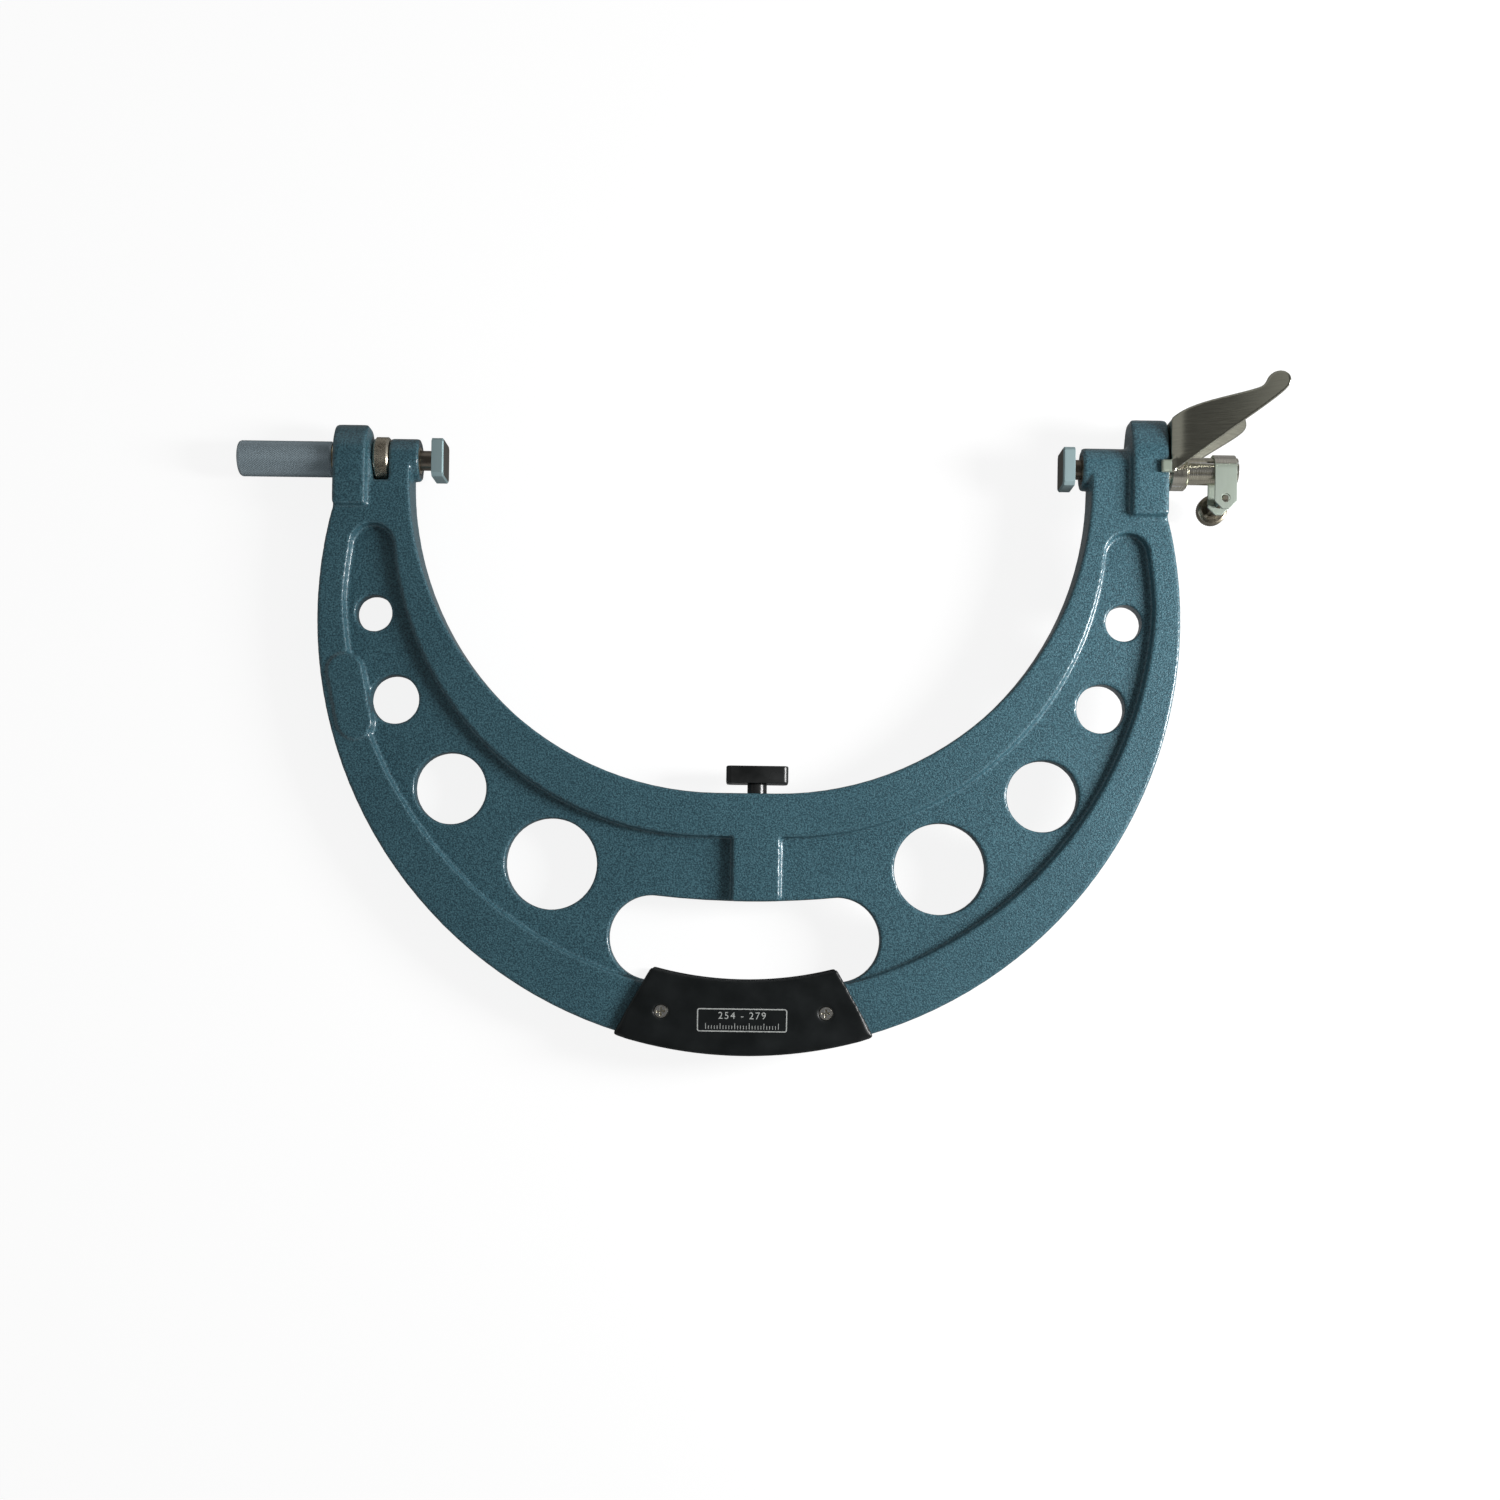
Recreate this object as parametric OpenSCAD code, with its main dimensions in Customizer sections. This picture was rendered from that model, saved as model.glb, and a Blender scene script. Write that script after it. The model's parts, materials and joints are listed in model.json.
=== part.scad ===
// Indicating snap gauge for large shafts, lying on its back.
// X runs along the measuring line, Y points from the grip towards the anvils, Z points to the front.
// The origin is on the measuring line, in the middle of the frame.

/* [Frame] */
// Radius of the frame's outer arc
outer_r = 193.5; // [185:0.5:205]
// Distance from the measuring line down to the centre of the outer arc
outer_drop = 71.5; // [66:0.5:78]
// Distance from the outer arc's side to the side of the throat
throat_inset = 40.5; // [37:0.5:44]
// Depth of the frame below the throat
bottom_w = 116; // [106:0.5:124]
// Half the distance between the centres of the two throat arcs
throat_spread = 13; // [10:0.5:15]
// Thickness of the rims
rim_t = 19; // [18:0.5:22]
// Thickness of the web between the rims
web_t = 9; // [6:0.5:13]
// Width of the outer rim on the arms
outer_rim_w = 11.5; // [8:0.5:14]
// Width of the outer rim at the bottom of the frame
bottom_rim_w = 25; // [22:0.5:28]
// Width of the inner rim on the arms
inner_rim_w = 7; // [5:0.5:10]
// Width of the inner rim at the bottom of the throat
throat_rim_w = 19.5; // [16:0.5:23]
// Growth of the radius from the throat's arcs to the pocket's inner arcs
pocket_arc_growth = 2; // [1:0.5:4]
// Distance from the measuring line down to the centre of the pocket's round end
pocket_start = 40; // [37:0.5:48]
// Width of the centre rib
rib_w = 21.5; // [18:0.5:26]
// Angles of the lightening holes below the outer arc's centre
hole_angles = [-0.6, 13.1, 29.9, 51.5]; // [-2:0.1:54]
// Distances of the lightening holes from the outer edge
hole_insets = [24.5, 30.1, 39.5, 52.7]; // [22:0.1:55]
// Diameters of the lightening holes
hole_ds = [16.4, 22, 32.4, 41.4]; // [14:0.1:44]
// Length of the finger slot
slot_len = 122.4; // [110:0.2:128]
// Height of the finger slot at its ends
slot_h = 38.4; // [32:0.2:40]
// Thickness of frame between the finger slot and the outer edge
slot_floor = 31.4; // [30:0.2:32]
// Depth by which the slot's upper edge bows down at its middle
slot_bow = 2.2; // [1:0.1:4]
// Length of the raised pad on the left rim
pad_len = 39; // [30:0.5:46]
// Width of the raised pad
pad_w = 16; // [13:0.5:16.5]
// Distance from the frame's outer edge to the middle of the raised pad
pad_inset = 11.5; // [10:0.5:12]
// Angle of the raised pad below the outer arc's centre
pad_angle = 11.6; // [10:0.2:14]
// Height of the raised pad above the rim
pad_rise = 1.2; // [0.6:0.1:2]

/* [Heads] */
// Distance from the frame's outer arc to the outer faces of the bosses, at their feet
boss_inset = 0.2; // [0:0.1:1]
// Thickness of the bosses from front to back
boss_t = 27; // [25:0.5:32]
// Width of the left boss
left_boss_w = 15; // [14:0.5:16]
// Height of the left boss above the measuring line
left_boss_top = 12.3; // [11:0.1:15]
// Width of the right boss
right_boss_w = 16.6; // [15:0.2:18]
// Height of the right boss above the measuring line
right_boss_top = 19; // [17:0.5:20]
// Depth of both bosses below the measuring line
boss_drop = 22.5; // [18:0.5:26]
// Distance that the barrels stand out into the throat
barrel_overhang = 3.7; // [2:0.1:5]

/* [Anvils] */
// Diameter of both spindles
spindle_d = 8.8; // [8:0.1:9]
// Distance from the right barrel to the back of the right anvil
right_neck = 3.8; // [3.2:0.1:5]
// Distance from the left barrel to the back of the left anvil
left_neck = 5.9; // [3:0.1:7]
// Travel of the left anvil towards the middle
left_travel_in = 23.6; // [20:0.1:24]
// Travel of the left anvil away from the middle
left_travel_out = 1.5; // [0.5:0.1:2]
// Travel of the right anvil when it is drawn back
right_travel = 2; // [1:0.1:2.2]
// Thickness of an anvil with its hard face
anvil_t = 5.5; // [5:0.1:6.5]
// Thickness of the hard face
anvil_face_t = 1.6; // [1:0.1:2]
// Height and depth of an anvil
anvil_w = 17.3; // [15:0.1:19]
// Chamfer on the corners of an anvil
anvil_chamfer = 1.6; // [0.6:0.1:3]

/* [Adjustment] */
// Width of the adjusting nut
nut_w = 6.8; // [5.5:0.1:7.5]
// Diameter of the adjusting nut
nut_d = 20.4; // [19.6:0.1:22]
// Distance from the left boss's inner face to the nut
nut_gap = 2.4; // [1.5:0.1:2.6]
// Diameter of the lock sleeve
sleeve_d = 16; // [15:0.1:18]
// Length of the lock sleeve
sleeve_len = 42.6; // [38:0.1:50]
// Thickness of the lock sleeve's closed end
sleeve_end_t = 2.4; // [1.5:0.1:4]
// Outside diameter of the lock collet
collet_d = 12; // [11.6:0.1:12.8]
// Diameter of the collet's flange
collet_flange_d = 14.4; // [13.6:0.1:15.6]
// Thickness of the collet's flange
collet_flange_t = 1.4; // [0.8:0.1:2]
// Length of the collet's split tail
collet_tail = 10; // [8:0.5:14]
// Depth of the spindle's keyway
keyway_depth = 1.4; // [1:0.1:2]
// Diameter of the spindle's key
key_d = 2.4; // [1.8:0.1:2.8]
// Diameter of the key screw
key_screw_d = 4; // [3.5:0.1:5]

/* [Guide bushes] */
// Outside diameter of the guide bushes
bush_d = 12; // [11:0.1:13]
// Length of the right guide bush
right_bush_len = 16; // [14:0.5:17]

/* [Indicator holder] */
// Diameter of the indicator's stem bore
stem_bore_d = 9.55; // [9.4:0.05:9.7]
// Outside diameter of the stem tube
tube_d = 12.2; // [11.6:0.1:12.4]
// Distance that the stem tube stands out of the boss
tube_len = 32.6; // [31.5:0.1:36]
// Diameter of the tube's spigot in the boss
spigot_d = 13.6; // [13:0.1:14.6]
// Length of the tube's spigot in the boss
spigot_len = 6.5; // [5:0.1:7.5]
// Width of the slit that lets the tube close
slit_w = 1; // [0.6:0.1:1.6]
// Angle of the slit, from the top towards the front
slit_turn = 60; // [30:1:75]
// Diameter of the lifting ring
ring_d = 17.6; // [16.4:0.1:19]
// Width of the lifting ring
ring_w = 7; // [5.5:0.1:7.4]
// Diameter of the ring's cross pin
ring_pin_d = 2.5; // [2:0.1:3]
// Length of the right spindle past the ring's cross pin
pin_to_tail = 9; // [6:0.5:10]
// Distance from the stem tube's end to the clamp strap
strap_inset = 1.2; // [0.6:0.1:2]
// Width of the clamp strap
strap_w = 9.9; // [8:0.1:11]
// Thickness of the clamp strap
strap_t = 1.2; // [0.8:0.1:1.6]
// Distance from the tube's axis down to the end of the lugs
lug_drop = 18.2; // [16.5:0.1:22]
// Distance from the tube's axis down to the clamp screw
clamp_screw_drop = 13.2; // [12:0.1:14.5]
// Diameter of the clamp screw's thread
clamp_screw_d = 3.6; // [3:0.1:4]
// Diameter of the clamp screw's knob
knob_d = 13.7; // [11:0.1:14.5]
// Thickness of the clamp screw's knob
knob_t = 7; // [5:0.1:9]
// Distance from the rear lug to the knob
knob_standoff = 8.5; // [6:0.1:10]

/* [Return spring] */
// Wire diameter of the return spring
spring_wire = 1.1; // [0.8:0.1:1.4]
// Number of turns of the return spring
spring_turns = 4.5; // [3:0.5:6]
// Width of the spindle's shoulder that the spring pushes
shoulder_w = 2; // [1.5:0.1:2.5]

/* [Lever] */
// Thickness of the lever's sheet
lever_t = 2; // [1.4:0.1:2.2]
// Distance from the boss to the tips of the wings
lever_reach = 46.5; // [40:0.5:52]
// Height of the wing tips above the measuring line
lever_rise = 36; // [32:0.5:42]
// Height of the lever's web above the measuring line
lever_root_rise = 20.6; // [18:0.1:22]
// Depth of the wings below the measuring line
lever_root_drop = 4.4; // [4:0.1:5]
// Radius of the round wing tips
lever_tip_r = 4.6; // [3.6:0.1:5.4]
// Angle on the wing tip where its round end starts
tip_start_angle = 150; // [140:1:160]
// Angle on the wing tip where its round end stops
tip_end_angle = -40; // [-50:1:-30]
// Outward angle of the wings at their roots
lever_root_angle = 22; // [18:0.5:25]
// Outward angle of the wings at their tips
lever_tip_angle = 33; // [28:0.5:36]
// Gap between the lever's web and the stem tube
lever_notch_gap = 1.5; // [1.4:0.1:1.8]
// Length of the lever's ears along the boss
ear_len = 4.4; // [3.8:0.1:6]
// Height of the lever's ears
ear_h = 5.6; // [5:0.1:6.4]
// Distance from the measuring line down to the middle of the ears
ear_drop = 1.2; // [0.8:0.1:1.6]
// Diameter of the lever's pivot pins
pivot_d = 2.6; // [2:0.1:3]
// Distance that the pivot pins stand out of the boss
pivot_reach = 1.4; // [1:0.1:1.4]
// Depth of the pivot pins in the boss
pivot_depth = 4; // [3:0.1:5]

/* [Back stop] */
// Distance from the middle of the frame to the back stop
stop_x = 4.8; // [3:0.1:7]
// Distance from the bottom of the throat up to the top of the stop
stop_rise = 12.5; // [12:0.1:16]
// Width of the stop's pad
stop_pad_w = 28; // [24:0.5:34]
// Height of the stop's pad
stop_pad_h = 7.8; // [6:0.1:8.4]
// Depth of the stop's pad from front to back
stop_pad_t = 15; // [12:0.5:18]
// Corner radius at the ends of the stop's pad
stop_pad_r = 2.6; // [1:0.1:4]
// Diameter of the stop's rod
stop_rod_d = 8.8; // [7:0.1:10]
// Length of the stop's rod below the pad
stop_rod_len = 42; // [36:0.5:46]
// Diameter of the stop's lock screw
stop_screw_d = 5; // [4:0.1:6]

/* [Grip] */
// Thickness of a grip cover
grip_t = 4; // [3:0.1:5]
// Height of the grip from its inner arc to the frame's outer edge
grip_h = 32; // [31:0.1:33]
// Thickness of the grip's lip round the frame's outer edge
grip_lip = 1.7; // [1.2:0.1:2.5]
// Width of the grip along its inner arc
grip_top_w = 83; // [72:0.5:90]
// Outward angle of the grip's sides
grip_side_angle = 30; // [24:0.5:36]
// Distance between the grip's screws
grip_screw_span = 73.6; // [60:0.2:78]
// Distance of the grip's screws from the frame's outer edge
grip_screw_inset = 17.9; // [15:0.1:19]
// Diameter of the grip screws' heads
grip_head_d = 5.8; // [5:0.1:6.5]
// Thickness of the grip screws' heads
grip_head_t = 1.8; // [1.2:0.1:2.4]
// Diameter of the grip screws' threads
grip_screw_d = 3; // [2.4:0.1:3.4]
// Depth of the grip screws in the frame
grip_screw_depth = 6; // [4:0.1:8]

/* [Clearances] */
// Radial clearance of a running fit
running_fit = 0.05; // [0.02:0.01:0.08]
// Gap between pieces that pass each other
free_gap = 0.35; // [0.3:0.05:0.5]
// Gap round a spindle where nothing guides it
spindle_clear = 0.8; // [0.6:0.1:1]
// Gap that is left at the end of a travel
travel_gap = 1; // [0.5:0.1:1.5]
// Length of the cuts past the surfaces that they open
overcut = 1; // [0.5:0.1:2]

/* [Hidden] */
$fn = 96;

// Frame outlines
rim_half = rim_t / 2;
boss_half = boss_t / 2;
outer_bottom = outer_drop + outer_r;
throat_half = outer_r - throat_inset;
throat_bottom = outer_bottom - bottom_w;
throat_r = throat_half - throat_spread;
throat_drop = throat_bottom - throat_r;
pocket_inner_r = throat_r + pocket_arc_growth;
pocket_spread = throat_half + inner_rim_w - pocket_inner_r;
pocket_drop = throat_bottom + throat_rim_w - pocket_inner_r;
pocket_side_r = outer_r - outer_rim_w;
pocket_floor_drop = outer_bottom - bottom_rim_w - pocket_side_r;
pocket_end_in = pocket_spread + sqrt(pow(pocket_inner_r, 2) - pow(pocket_start - pocket_drop, 2));
pocket_end_out = sqrt(pow(pocket_side_r, 2) - pow(outer_drop - pocket_start, 2));
slot_end_r = slot_h / 2;
slot_drop = outer_bottom - slot_floor - slot_end_r;
slot_bow_r = pow(slot_len / 2 - slot_end_r, 2) / (2 * slot_bow);
slot_top_y = -slot_drop + slot_end_r - slot_bow;
reach_all = outer_r + outer_drop;

// Places along the measuring line
boss_reach = sqrt(pow(outer_r, 2) - pow(outer_drop - boss_drop, 2)) - boss_inset;
barrel_reach = throat_half - barrel_overhang;
left_boss_in = -boss_reach + left_boss_w;
right_boss_in = boss_reach - right_boss_w;
nut_left = left_boss_in + nut_gap;
nut_right = nut_left + nut_w;
nut_slot_drop = nut_d / 2 + free_gap;
left_back = -barrel_reach + left_neck;
right_back = barrel_reach - right_neck;
left_face_x = left_back + anvil_t;
right_face_x = right_back - anvil_t;
collet_left = -boss_reach - collet_flange_t;
sleeve_right = collet_left - free_gap;
sleeve_left = sleeve_right - sleeve_len;
spindle_tail = sleeve_left + sleeve_end_t + left_travel_out + travel_gap;
key_x = -boss_reach + left_boss_w / 2;
key_tip_z = -(spindle_d / 2 - keyway_depth + free_gap / 2);
bush_inner = barrel_reach + right_bush_len;
shoulder_left = bush_inner + free_gap;
shoulder_d = bush_d;
spring_bore_d = spigot_d;
spigot_left = boss_reach - spigot_len;
spring_left = shoulder_left + shoulder_w;
spring_mean_r = (spindle_d / 2 + spring_bore_d / 2) / 2;
lever_left = boss_reach + free_gap;
lever_right = lever_left + lever_t;
ring_left = lever_right + free_gap;
ring_right = ring_left + ring_w;
ring_pin_x = ring_left + ring_w / 2;
tube_right = boss_reach + tube_len;
spindle_right_tail = ring_pin_x + pin_to_tail;
stem_seat = spindle_right_tail + right_travel + travel_gap;
strap_right = tube_right - strap_inset;
strap_left = strap_right - strap_w;
strap_mid = (strap_left + strap_right) / 2;
strap_in = tube_d / 2 + running_fit;
strap_out = strap_in + strap_t;

// Lever
ear_in = boss_half + free_gap;
ear_out = ear_in + lever_t;
pivot_x = boss_reach - ear_len / 2;
wing_tip_x = boss_reach + lever_reach;
wing_arc_r = (wing_tip_x - lever_right) / (sin(lever_tip_angle) - sin(lever_root_angle));
wing_centre_x = lever_right - wing_arc_r * sin(lever_root_angle);
wing_centre_z = ear_out + wing_arc_r * cos(lever_root_angle);
lever_notch_r = tube_d / 2 + lever_notch_gap;

// Back stop
stop_top = throat_bottom - stop_rise;
stop_bottom = stop_top + stop_pad_h;
stop_screw_drop = throat_bottom + throat_rim_w / 2;

// Grip
grip_out_r = outer_r + grip_lip;
grip_in_r = outer_r - grip_h;
grip_out = rim_half + grip_t;
grip_screw_y = -outer_bottom + grip_screw_inset;

// Smooth curves for outlines: cubic Bezier points and arc points
function bezier(a, b, c, d, steps = 18) = [
    for (i = [0 : steps])
        let (t = i / steps, s = 1 - t)
            s * s * s * a + 3 * s * s * t * b + 3 * s * t * t * c + t * t * t * d
];
function arc(centre, r, from, to, steps = 18) = [
    for (i = [0 : steps])
        let (angle = from + (to - from) * i / steps)
            centre + r * [cos(angle), sin(angle)]
];

// Turns children that stand on Z so that they lie along the measuring line from x
module along_x(x) {
    translate([x, 0, 0]) rotate([0, 90, 0]) children();
}

// Solid rod along the measuring line
module rod_x(from, to, d) {
    along_x(from) cylinder(d = d, h = to - from);
}

// Tube along the measuring line
module tube_x(from, to, outer, inner) {
    difference() {
        rod_x(from, to, outer);
        rod_x(from - overcut, to + overcut, inner);
    }
}

// Block given by its lowest and highest corners
module block(low, high) {
    translate(low) cube(high - low);
}

// Two equal circles side by side, joined by a band
module two_arcs(r, spread, drop) {
    for (side = [-1, 1]) translate([side * spread, -drop]) circle(r = r, $fn = 240);
    translate([-spread, -drop - r]) square([2 * spread, 2 * r]);
}

module throat_outline() {
    two_arcs(throat_r, throat_spread, throat_drop);
    translate([-throat_half, -throat_drop]) square([2 * throat_half, reach_all]);
}

module frame_outline() {
    difference() {
        translate([0, -outer_drop]) circle(r = outer_r, $fn = 240);
        throat_outline();
        translate([-reach_all, 0]) square([2 * reach_all, reach_all]);
    }
}

module finger_slot_outline() {
    difference() {
        union() {
            for (side = [-1, 1]) translate([side * (slot_len / 2 - slot_end_r), -slot_drop]) circle(r = slot_end_r);
            translate([-slot_len / 2 + slot_end_r, -slot_drop - slot_end_r]) square([slot_len - slot_h, slot_h]);
        }
        translate([0, slot_top_y + slot_bow_r]) circle(r = slot_bow_r, $fn = 360);
    }
}

module hole_outlines() {
    for (side = [-1, 1], i = [0 : len(hole_ds) - 1])
        translate([
            side * (outer_r - hole_insets[i]) * cos(hole_angles[i]),
            -outer_drop - (outer_r - hole_insets[i]) * sin(hole_angles[i])
        ])
            circle(d = hole_ds[i]);
}

// The recess between the rims: both arms end round, and the rib splits it
module pocket_outline() {
    difference() {
        intersection() {
            translate([0, -outer_drop]) circle(r = pocket_side_r, $fn = 240);
            translate([0, -pocket_floor_drop]) circle(r = pocket_side_r, $fn = 240);
            translate([-reach_all, -2 * reach_all]) square([2 * reach_all, 2 * reach_all - pocket_start]);
        }
        two_arcs(pocket_inner_r, pocket_spread, pocket_drop);
        translate([stop_x - rib_w / 2, -reach_all]) square([rib_w, reach_all]);
        grip_outline();
    }
    for (side = [-1, 1])
        translate([side * (pocket_end_in + pocket_end_out) / 2, -pocket_start])
            circle(r = (pocket_end_out - pocket_end_in) / 2);
}

module raised_pad() {
    round_to = (pad_len - pad_w) / 2;
    translate([0, -outer_drop, 0]) rotate(180 + pad_angle) translate([outer_r - pad_inset, 0, 0])
        linear_extrude(rim_half + pad_rise) {
            square([pad_w, 2 * round_to], center = true);
            for (end = [-round_to, round_to]) translate([0, end]) circle(d = pad_w);
        }
}

module frame() {
    color([0.18, 0.36, 0.42])
    difference() {
        union() {
            difference() {
                translate([0, 0, -rim_half]) linear_extrude(rim_t) frame_outline();
                for (face = [-1, 1])
                    translate([0, 0, face > 0 ? web_t / 2 : -rim_half - overcut])
                        linear_extrude(rim_half - web_t / 2 + overcut) pocket_outline();
            }
            intersection() {
                raised_pad();
                translate([0, 0, -overcut]) linear_extrude(rim_t) frame_outline();
            }
            rod_x(-boss_reach + overcut, -barrel_reach, rim_t);
            rod_x(barrel_reach, boss_reach - overcut, rim_t);
            block([-boss_reach, -boss_drop, -boss_half], [left_boss_in, left_boss_top, boss_half]);
            block([right_boss_in, -boss_drop, -boss_half], [boss_reach, right_boss_top, boss_half]);
        }
        translate([0, 0, -boss_t]) linear_extrude(2 * boss_t) {
            finger_slot_outline();
            hole_outlines();
        }
        frame_bores();
    }
}

// Everything that is machined into the casting
module frame_bores() {
    block(
        [nut_left - free_gap, -nut_slot_drop, -boss_t],
        [nut_right + free_gap, left_boss_top + overcut, boss_t]
    );
    rod_x(-boss_reach - overcut, left_boss_in + overcut, collet_d);
    rod_x(nut_right, -barrel_reach + overcut, bush_d);
    rod_x(left_boss_in, nut_right, spindle_d + 2 * spindle_clear);
    rod_x(barrel_reach - overcut, bush_inner, bush_d);
    rod_x(bush_inner, boss_reach + overcut, spring_bore_d);
    translate([key_x, 0, -boss_half - overcut]) cylinder(d = key_screw_d, h = boss_half + overcut);
    for (face = [-1, 1])
        translate([pivot_x, -ear_drop, face > 0 ? boss_half - pivot_depth : -boss_half - overcut])
            cylinder(d = pivot_d, h = pivot_depth + overcut);
    translate([stop_x, -throat_bottom + overcut, 0]) rotate([90, 0, 0])
        cylinder(d = stop_rod_d + 2 * running_fit, h = slot_drop - throat_bottom + overcut);
    translate([stop_x, -stop_screw_drop, -rim_half - overcut]) cylinder(d = stop_screw_d, h = rim_half + overcut);
    for (side = [-1, 1], face = [-1, 1])
        translate([side * grip_screw_span / 2, grip_screw_y, face > 0 ? rim_half - grip_screw_depth : -rim_half - overcut])
            cylinder(d = grip_screw_d, h = grip_screw_depth + overcut);
}

// Front view of the grip, which is also its seat on the frame
module grip_outline() {
    corner_y = -sqrt(pow(grip_in_r, 2) - pow(grip_top_w / 2, 2));
    bottom_half = grip_top_w / 2 + (grip_out_r + corner_y) * tan(grip_side_angle);
    translate([0, -outer_drop]) intersection() {
        difference() {
            circle(r = grip_out_r, $fn = 240);
            circle(r = grip_in_r, $fn = 240);
        }
        polygon([
            [-grip_top_w / 2, corner_y],
            [grip_top_w / 2, corner_y],
            [bottom_half, -grip_out_r],
            [-bottom_half, -grip_out_r]
        ]);
    }
}

// One heat-insulating cover with its lip; the rear one is its mirror image
module grip_cover() {
    difference() {
        translate([0, 0, running_fit]) linear_extrude(grip_out - running_fit) grip_outline();
        translate([0, -outer_drop, -overcut]) cylinder(r = outer_r, h = rim_half + overcut, $fn = 240);
        for (side = [-1, 1]) translate([side * grip_screw_span / 2, grip_screw_y, 0]) {
            cylinder(d = grip_screw_d + 2 * running_fit, h = grip_out + overcut);
            translate([0, 0, grip_out - grip_head_t]) cylinder(d = grip_head_d + 2 * running_fit, h = grip_head_t + overcut);
        }
    }
}

module grip_front() {
    color([0.05, 0.06, 0.06]) grip_cover();
}

module grip_rear() {
    color([0.05, 0.06, 0.06]) mirror([0, 0, 1]) grip_cover();
}

module grip_screw_pair() {
    slot_t = grip_head_d / 6;
    for (side = [-1, 1]) translate([side * grip_screw_span / 2, grip_screw_y, 0]) difference() {
        union() {
            translate([0, 0, rim_half - grip_screw_depth])
                cylinder(d = grip_screw_d, h = grip_screw_depth + grip_t);
            translate([0, 0, grip_out - grip_head_t]) cylinder(d = grip_head_d, h = grip_head_t);
        }
        for (turn = [0, 90]) rotate(turn)
            translate([-grip_head_d / 3, -slot_t / 2, grip_out - grip_head_t / 2])
                cube([grip_head_d / 1.5, slot_t, grip_head_t]);
    }
}

module grip_front_screws() {
    color([0.72, 0.7, 0.64]) grip_screw_pair();
}

module grip_rear_screws() {
    color([0.72, 0.7, 0.64]) mirror([0, 0, 1]) grip_screw_pair();
}

// Anvil plate with chamfered corners, from its back to the seat of its hard face
module anvil_plate(from, to) {
    half = anvil_w / 2;
    cut = anvil_chamfer;
    along_x(from) linear_extrude(to - from) polygon([
        [-half, -half + cut], [-half + cut, -half], [half - cut, -half], [half, -half + cut],
        [half, half - cut], [half - cut, half], [-half + cut, half], [-half, half - cut]
    ]);
}

module adjustable_spindle() {
    color([0.45, 0.42, 0.38])
    difference() {
        rod_x(spindle_tail, left_back, spindle_d);
        block(
            [key_x - left_travel_in - key_d, -key_d / 2 - running_fit, -spindle_d],
            [key_x + left_travel_out + key_d, key_d / 2 + running_fit, -spindle_d / 2 + keyway_depth]
        );
    }
}

module adjustable_anvil() {
    color([0.66, 0.68, 0.69]) anvil_plate(left_back, left_face_x - anvil_face_t);
}

module adjustable_anvil_face() {
    color([0.38, 0.37, 0.34]) anvil_plate(left_face_x - anvil_face_t, left_face_x);
}

module adjusting_nut() {
    edge = nut_w / 8;
    color([0.5, 0.44, 0.36])
    difference() {
        union() {
            rod_x(nut_left + edge, nut_right - edge, nut_d);
            along_x(nut_left) cylinder(d1 = nut_d - 2 * edge, d2 = nut_d, h = edge);
            along_x(nut_right - edge) cylinder(d1 = nut_d, d2 = nut_d - 2 * edge, h = edge);
        }
        rod_x(nut_left - overcut, nut_right + overcut, spindle_d + 2 * running_fit);
    }
}

module lock_sleeve() {
    edge = sleeve_d / 20;
    color([0.48, 0.52, 0.55])
    difference() {
        union() {
            rod_x(sleeve_left + edge, sleeve_right, sleeve_d);
            along_x(sleeve_left) cylinder(d1 = sleeve_d - 2 * edge, d2 = sleeve_d, h = edge);
        }
        rod_x(collet_left - collet_tail - free_gap, sleeve_right + overcut, collet_d + 2 * running_fit);
        rod_x(sleeve_left + sleeve_end_t, sleeve_right, spindle_d + 2 * spindle_clear);
    }
}

module lock_collet() {
    color([0.55, 0.45, 0.3])
    difference() {
        union() {
            rod_x(collet_left - collet_tail, left_boss_in, collet_d);
            rod_x(collet_left, -boss_reach, collet_flange_d);
        }
        rod_x(collet_left - collet_tail - overcut, left_boss_in + overcut, spindle_d + 2 * running_fit);
        translate([key_x, 0, -collet_d]) cylinder(d = key_d + 2 * running_fit, h = collet_d);
        for (turn = [0, 90]) rotate([turn, 0, 0])
            block(
                [collet_left - collet_tail - overcut, -slit_w / 2, -collet_d],
                [collet_left - free_gap, slit_w / 2, collet_d]
            );
    }
}

module adjustable_guide_bush() {
    color([0.72, 0.58, 0.3])
        tube_x(nut_right + free_gap, -barrel_reach, bush_d, spindle_d + 2 * running_fit);
}

module spindle_key_screw() {
    socket_d = key_screw_d / 2;
    color([0.2, 0.2, 0.2]) translate([key_x, 0, 0]) difference() {
        union() {
            translate([0, 0, -boss_half]) cylinder(d = key_screw_d, h = boss_half - collet_d / 2);
            translate([0, 0, -boss_half]) cylinder(d = key_d, h = boss_half + key_tip_z);
        }
        translate([0, 0, -boss_half - overcut]) cylinder(d = socket_d, h = socket_d + overcut, $fn = 6);
    }
}

module retractable_spindle() {
    color([0.45, 0.42, 0.38])
    difference() {
        union() {
            rod_x(right_back, spindle_right_tail, spindle_d);
            rod_x(shoulder_left, spring_left, shoulder_d);
        }
        translate([ring_pin_x, 0, -ring_d]) cylinder(d = ring_pin_d, h = 2 * ring_d);
    }
}

module retractable_anvil() {
    color([0.66, 0.68, 0.69]) anvil_plate(right_face_x + anvil_face_t, right_back);
}

module retractable_anvil_face() {
    color([0.38, 0.37, 0.34]) anvil_plate(right_face_x, right_face_x + anvil_face_t);
}

module retractable_guide_bush() {
    color([0.72, 0.58, 0.3]) tube_x(barrel_reach, bush_inner, bush_d, spindle_d + 2 * running_fit);
}

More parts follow.
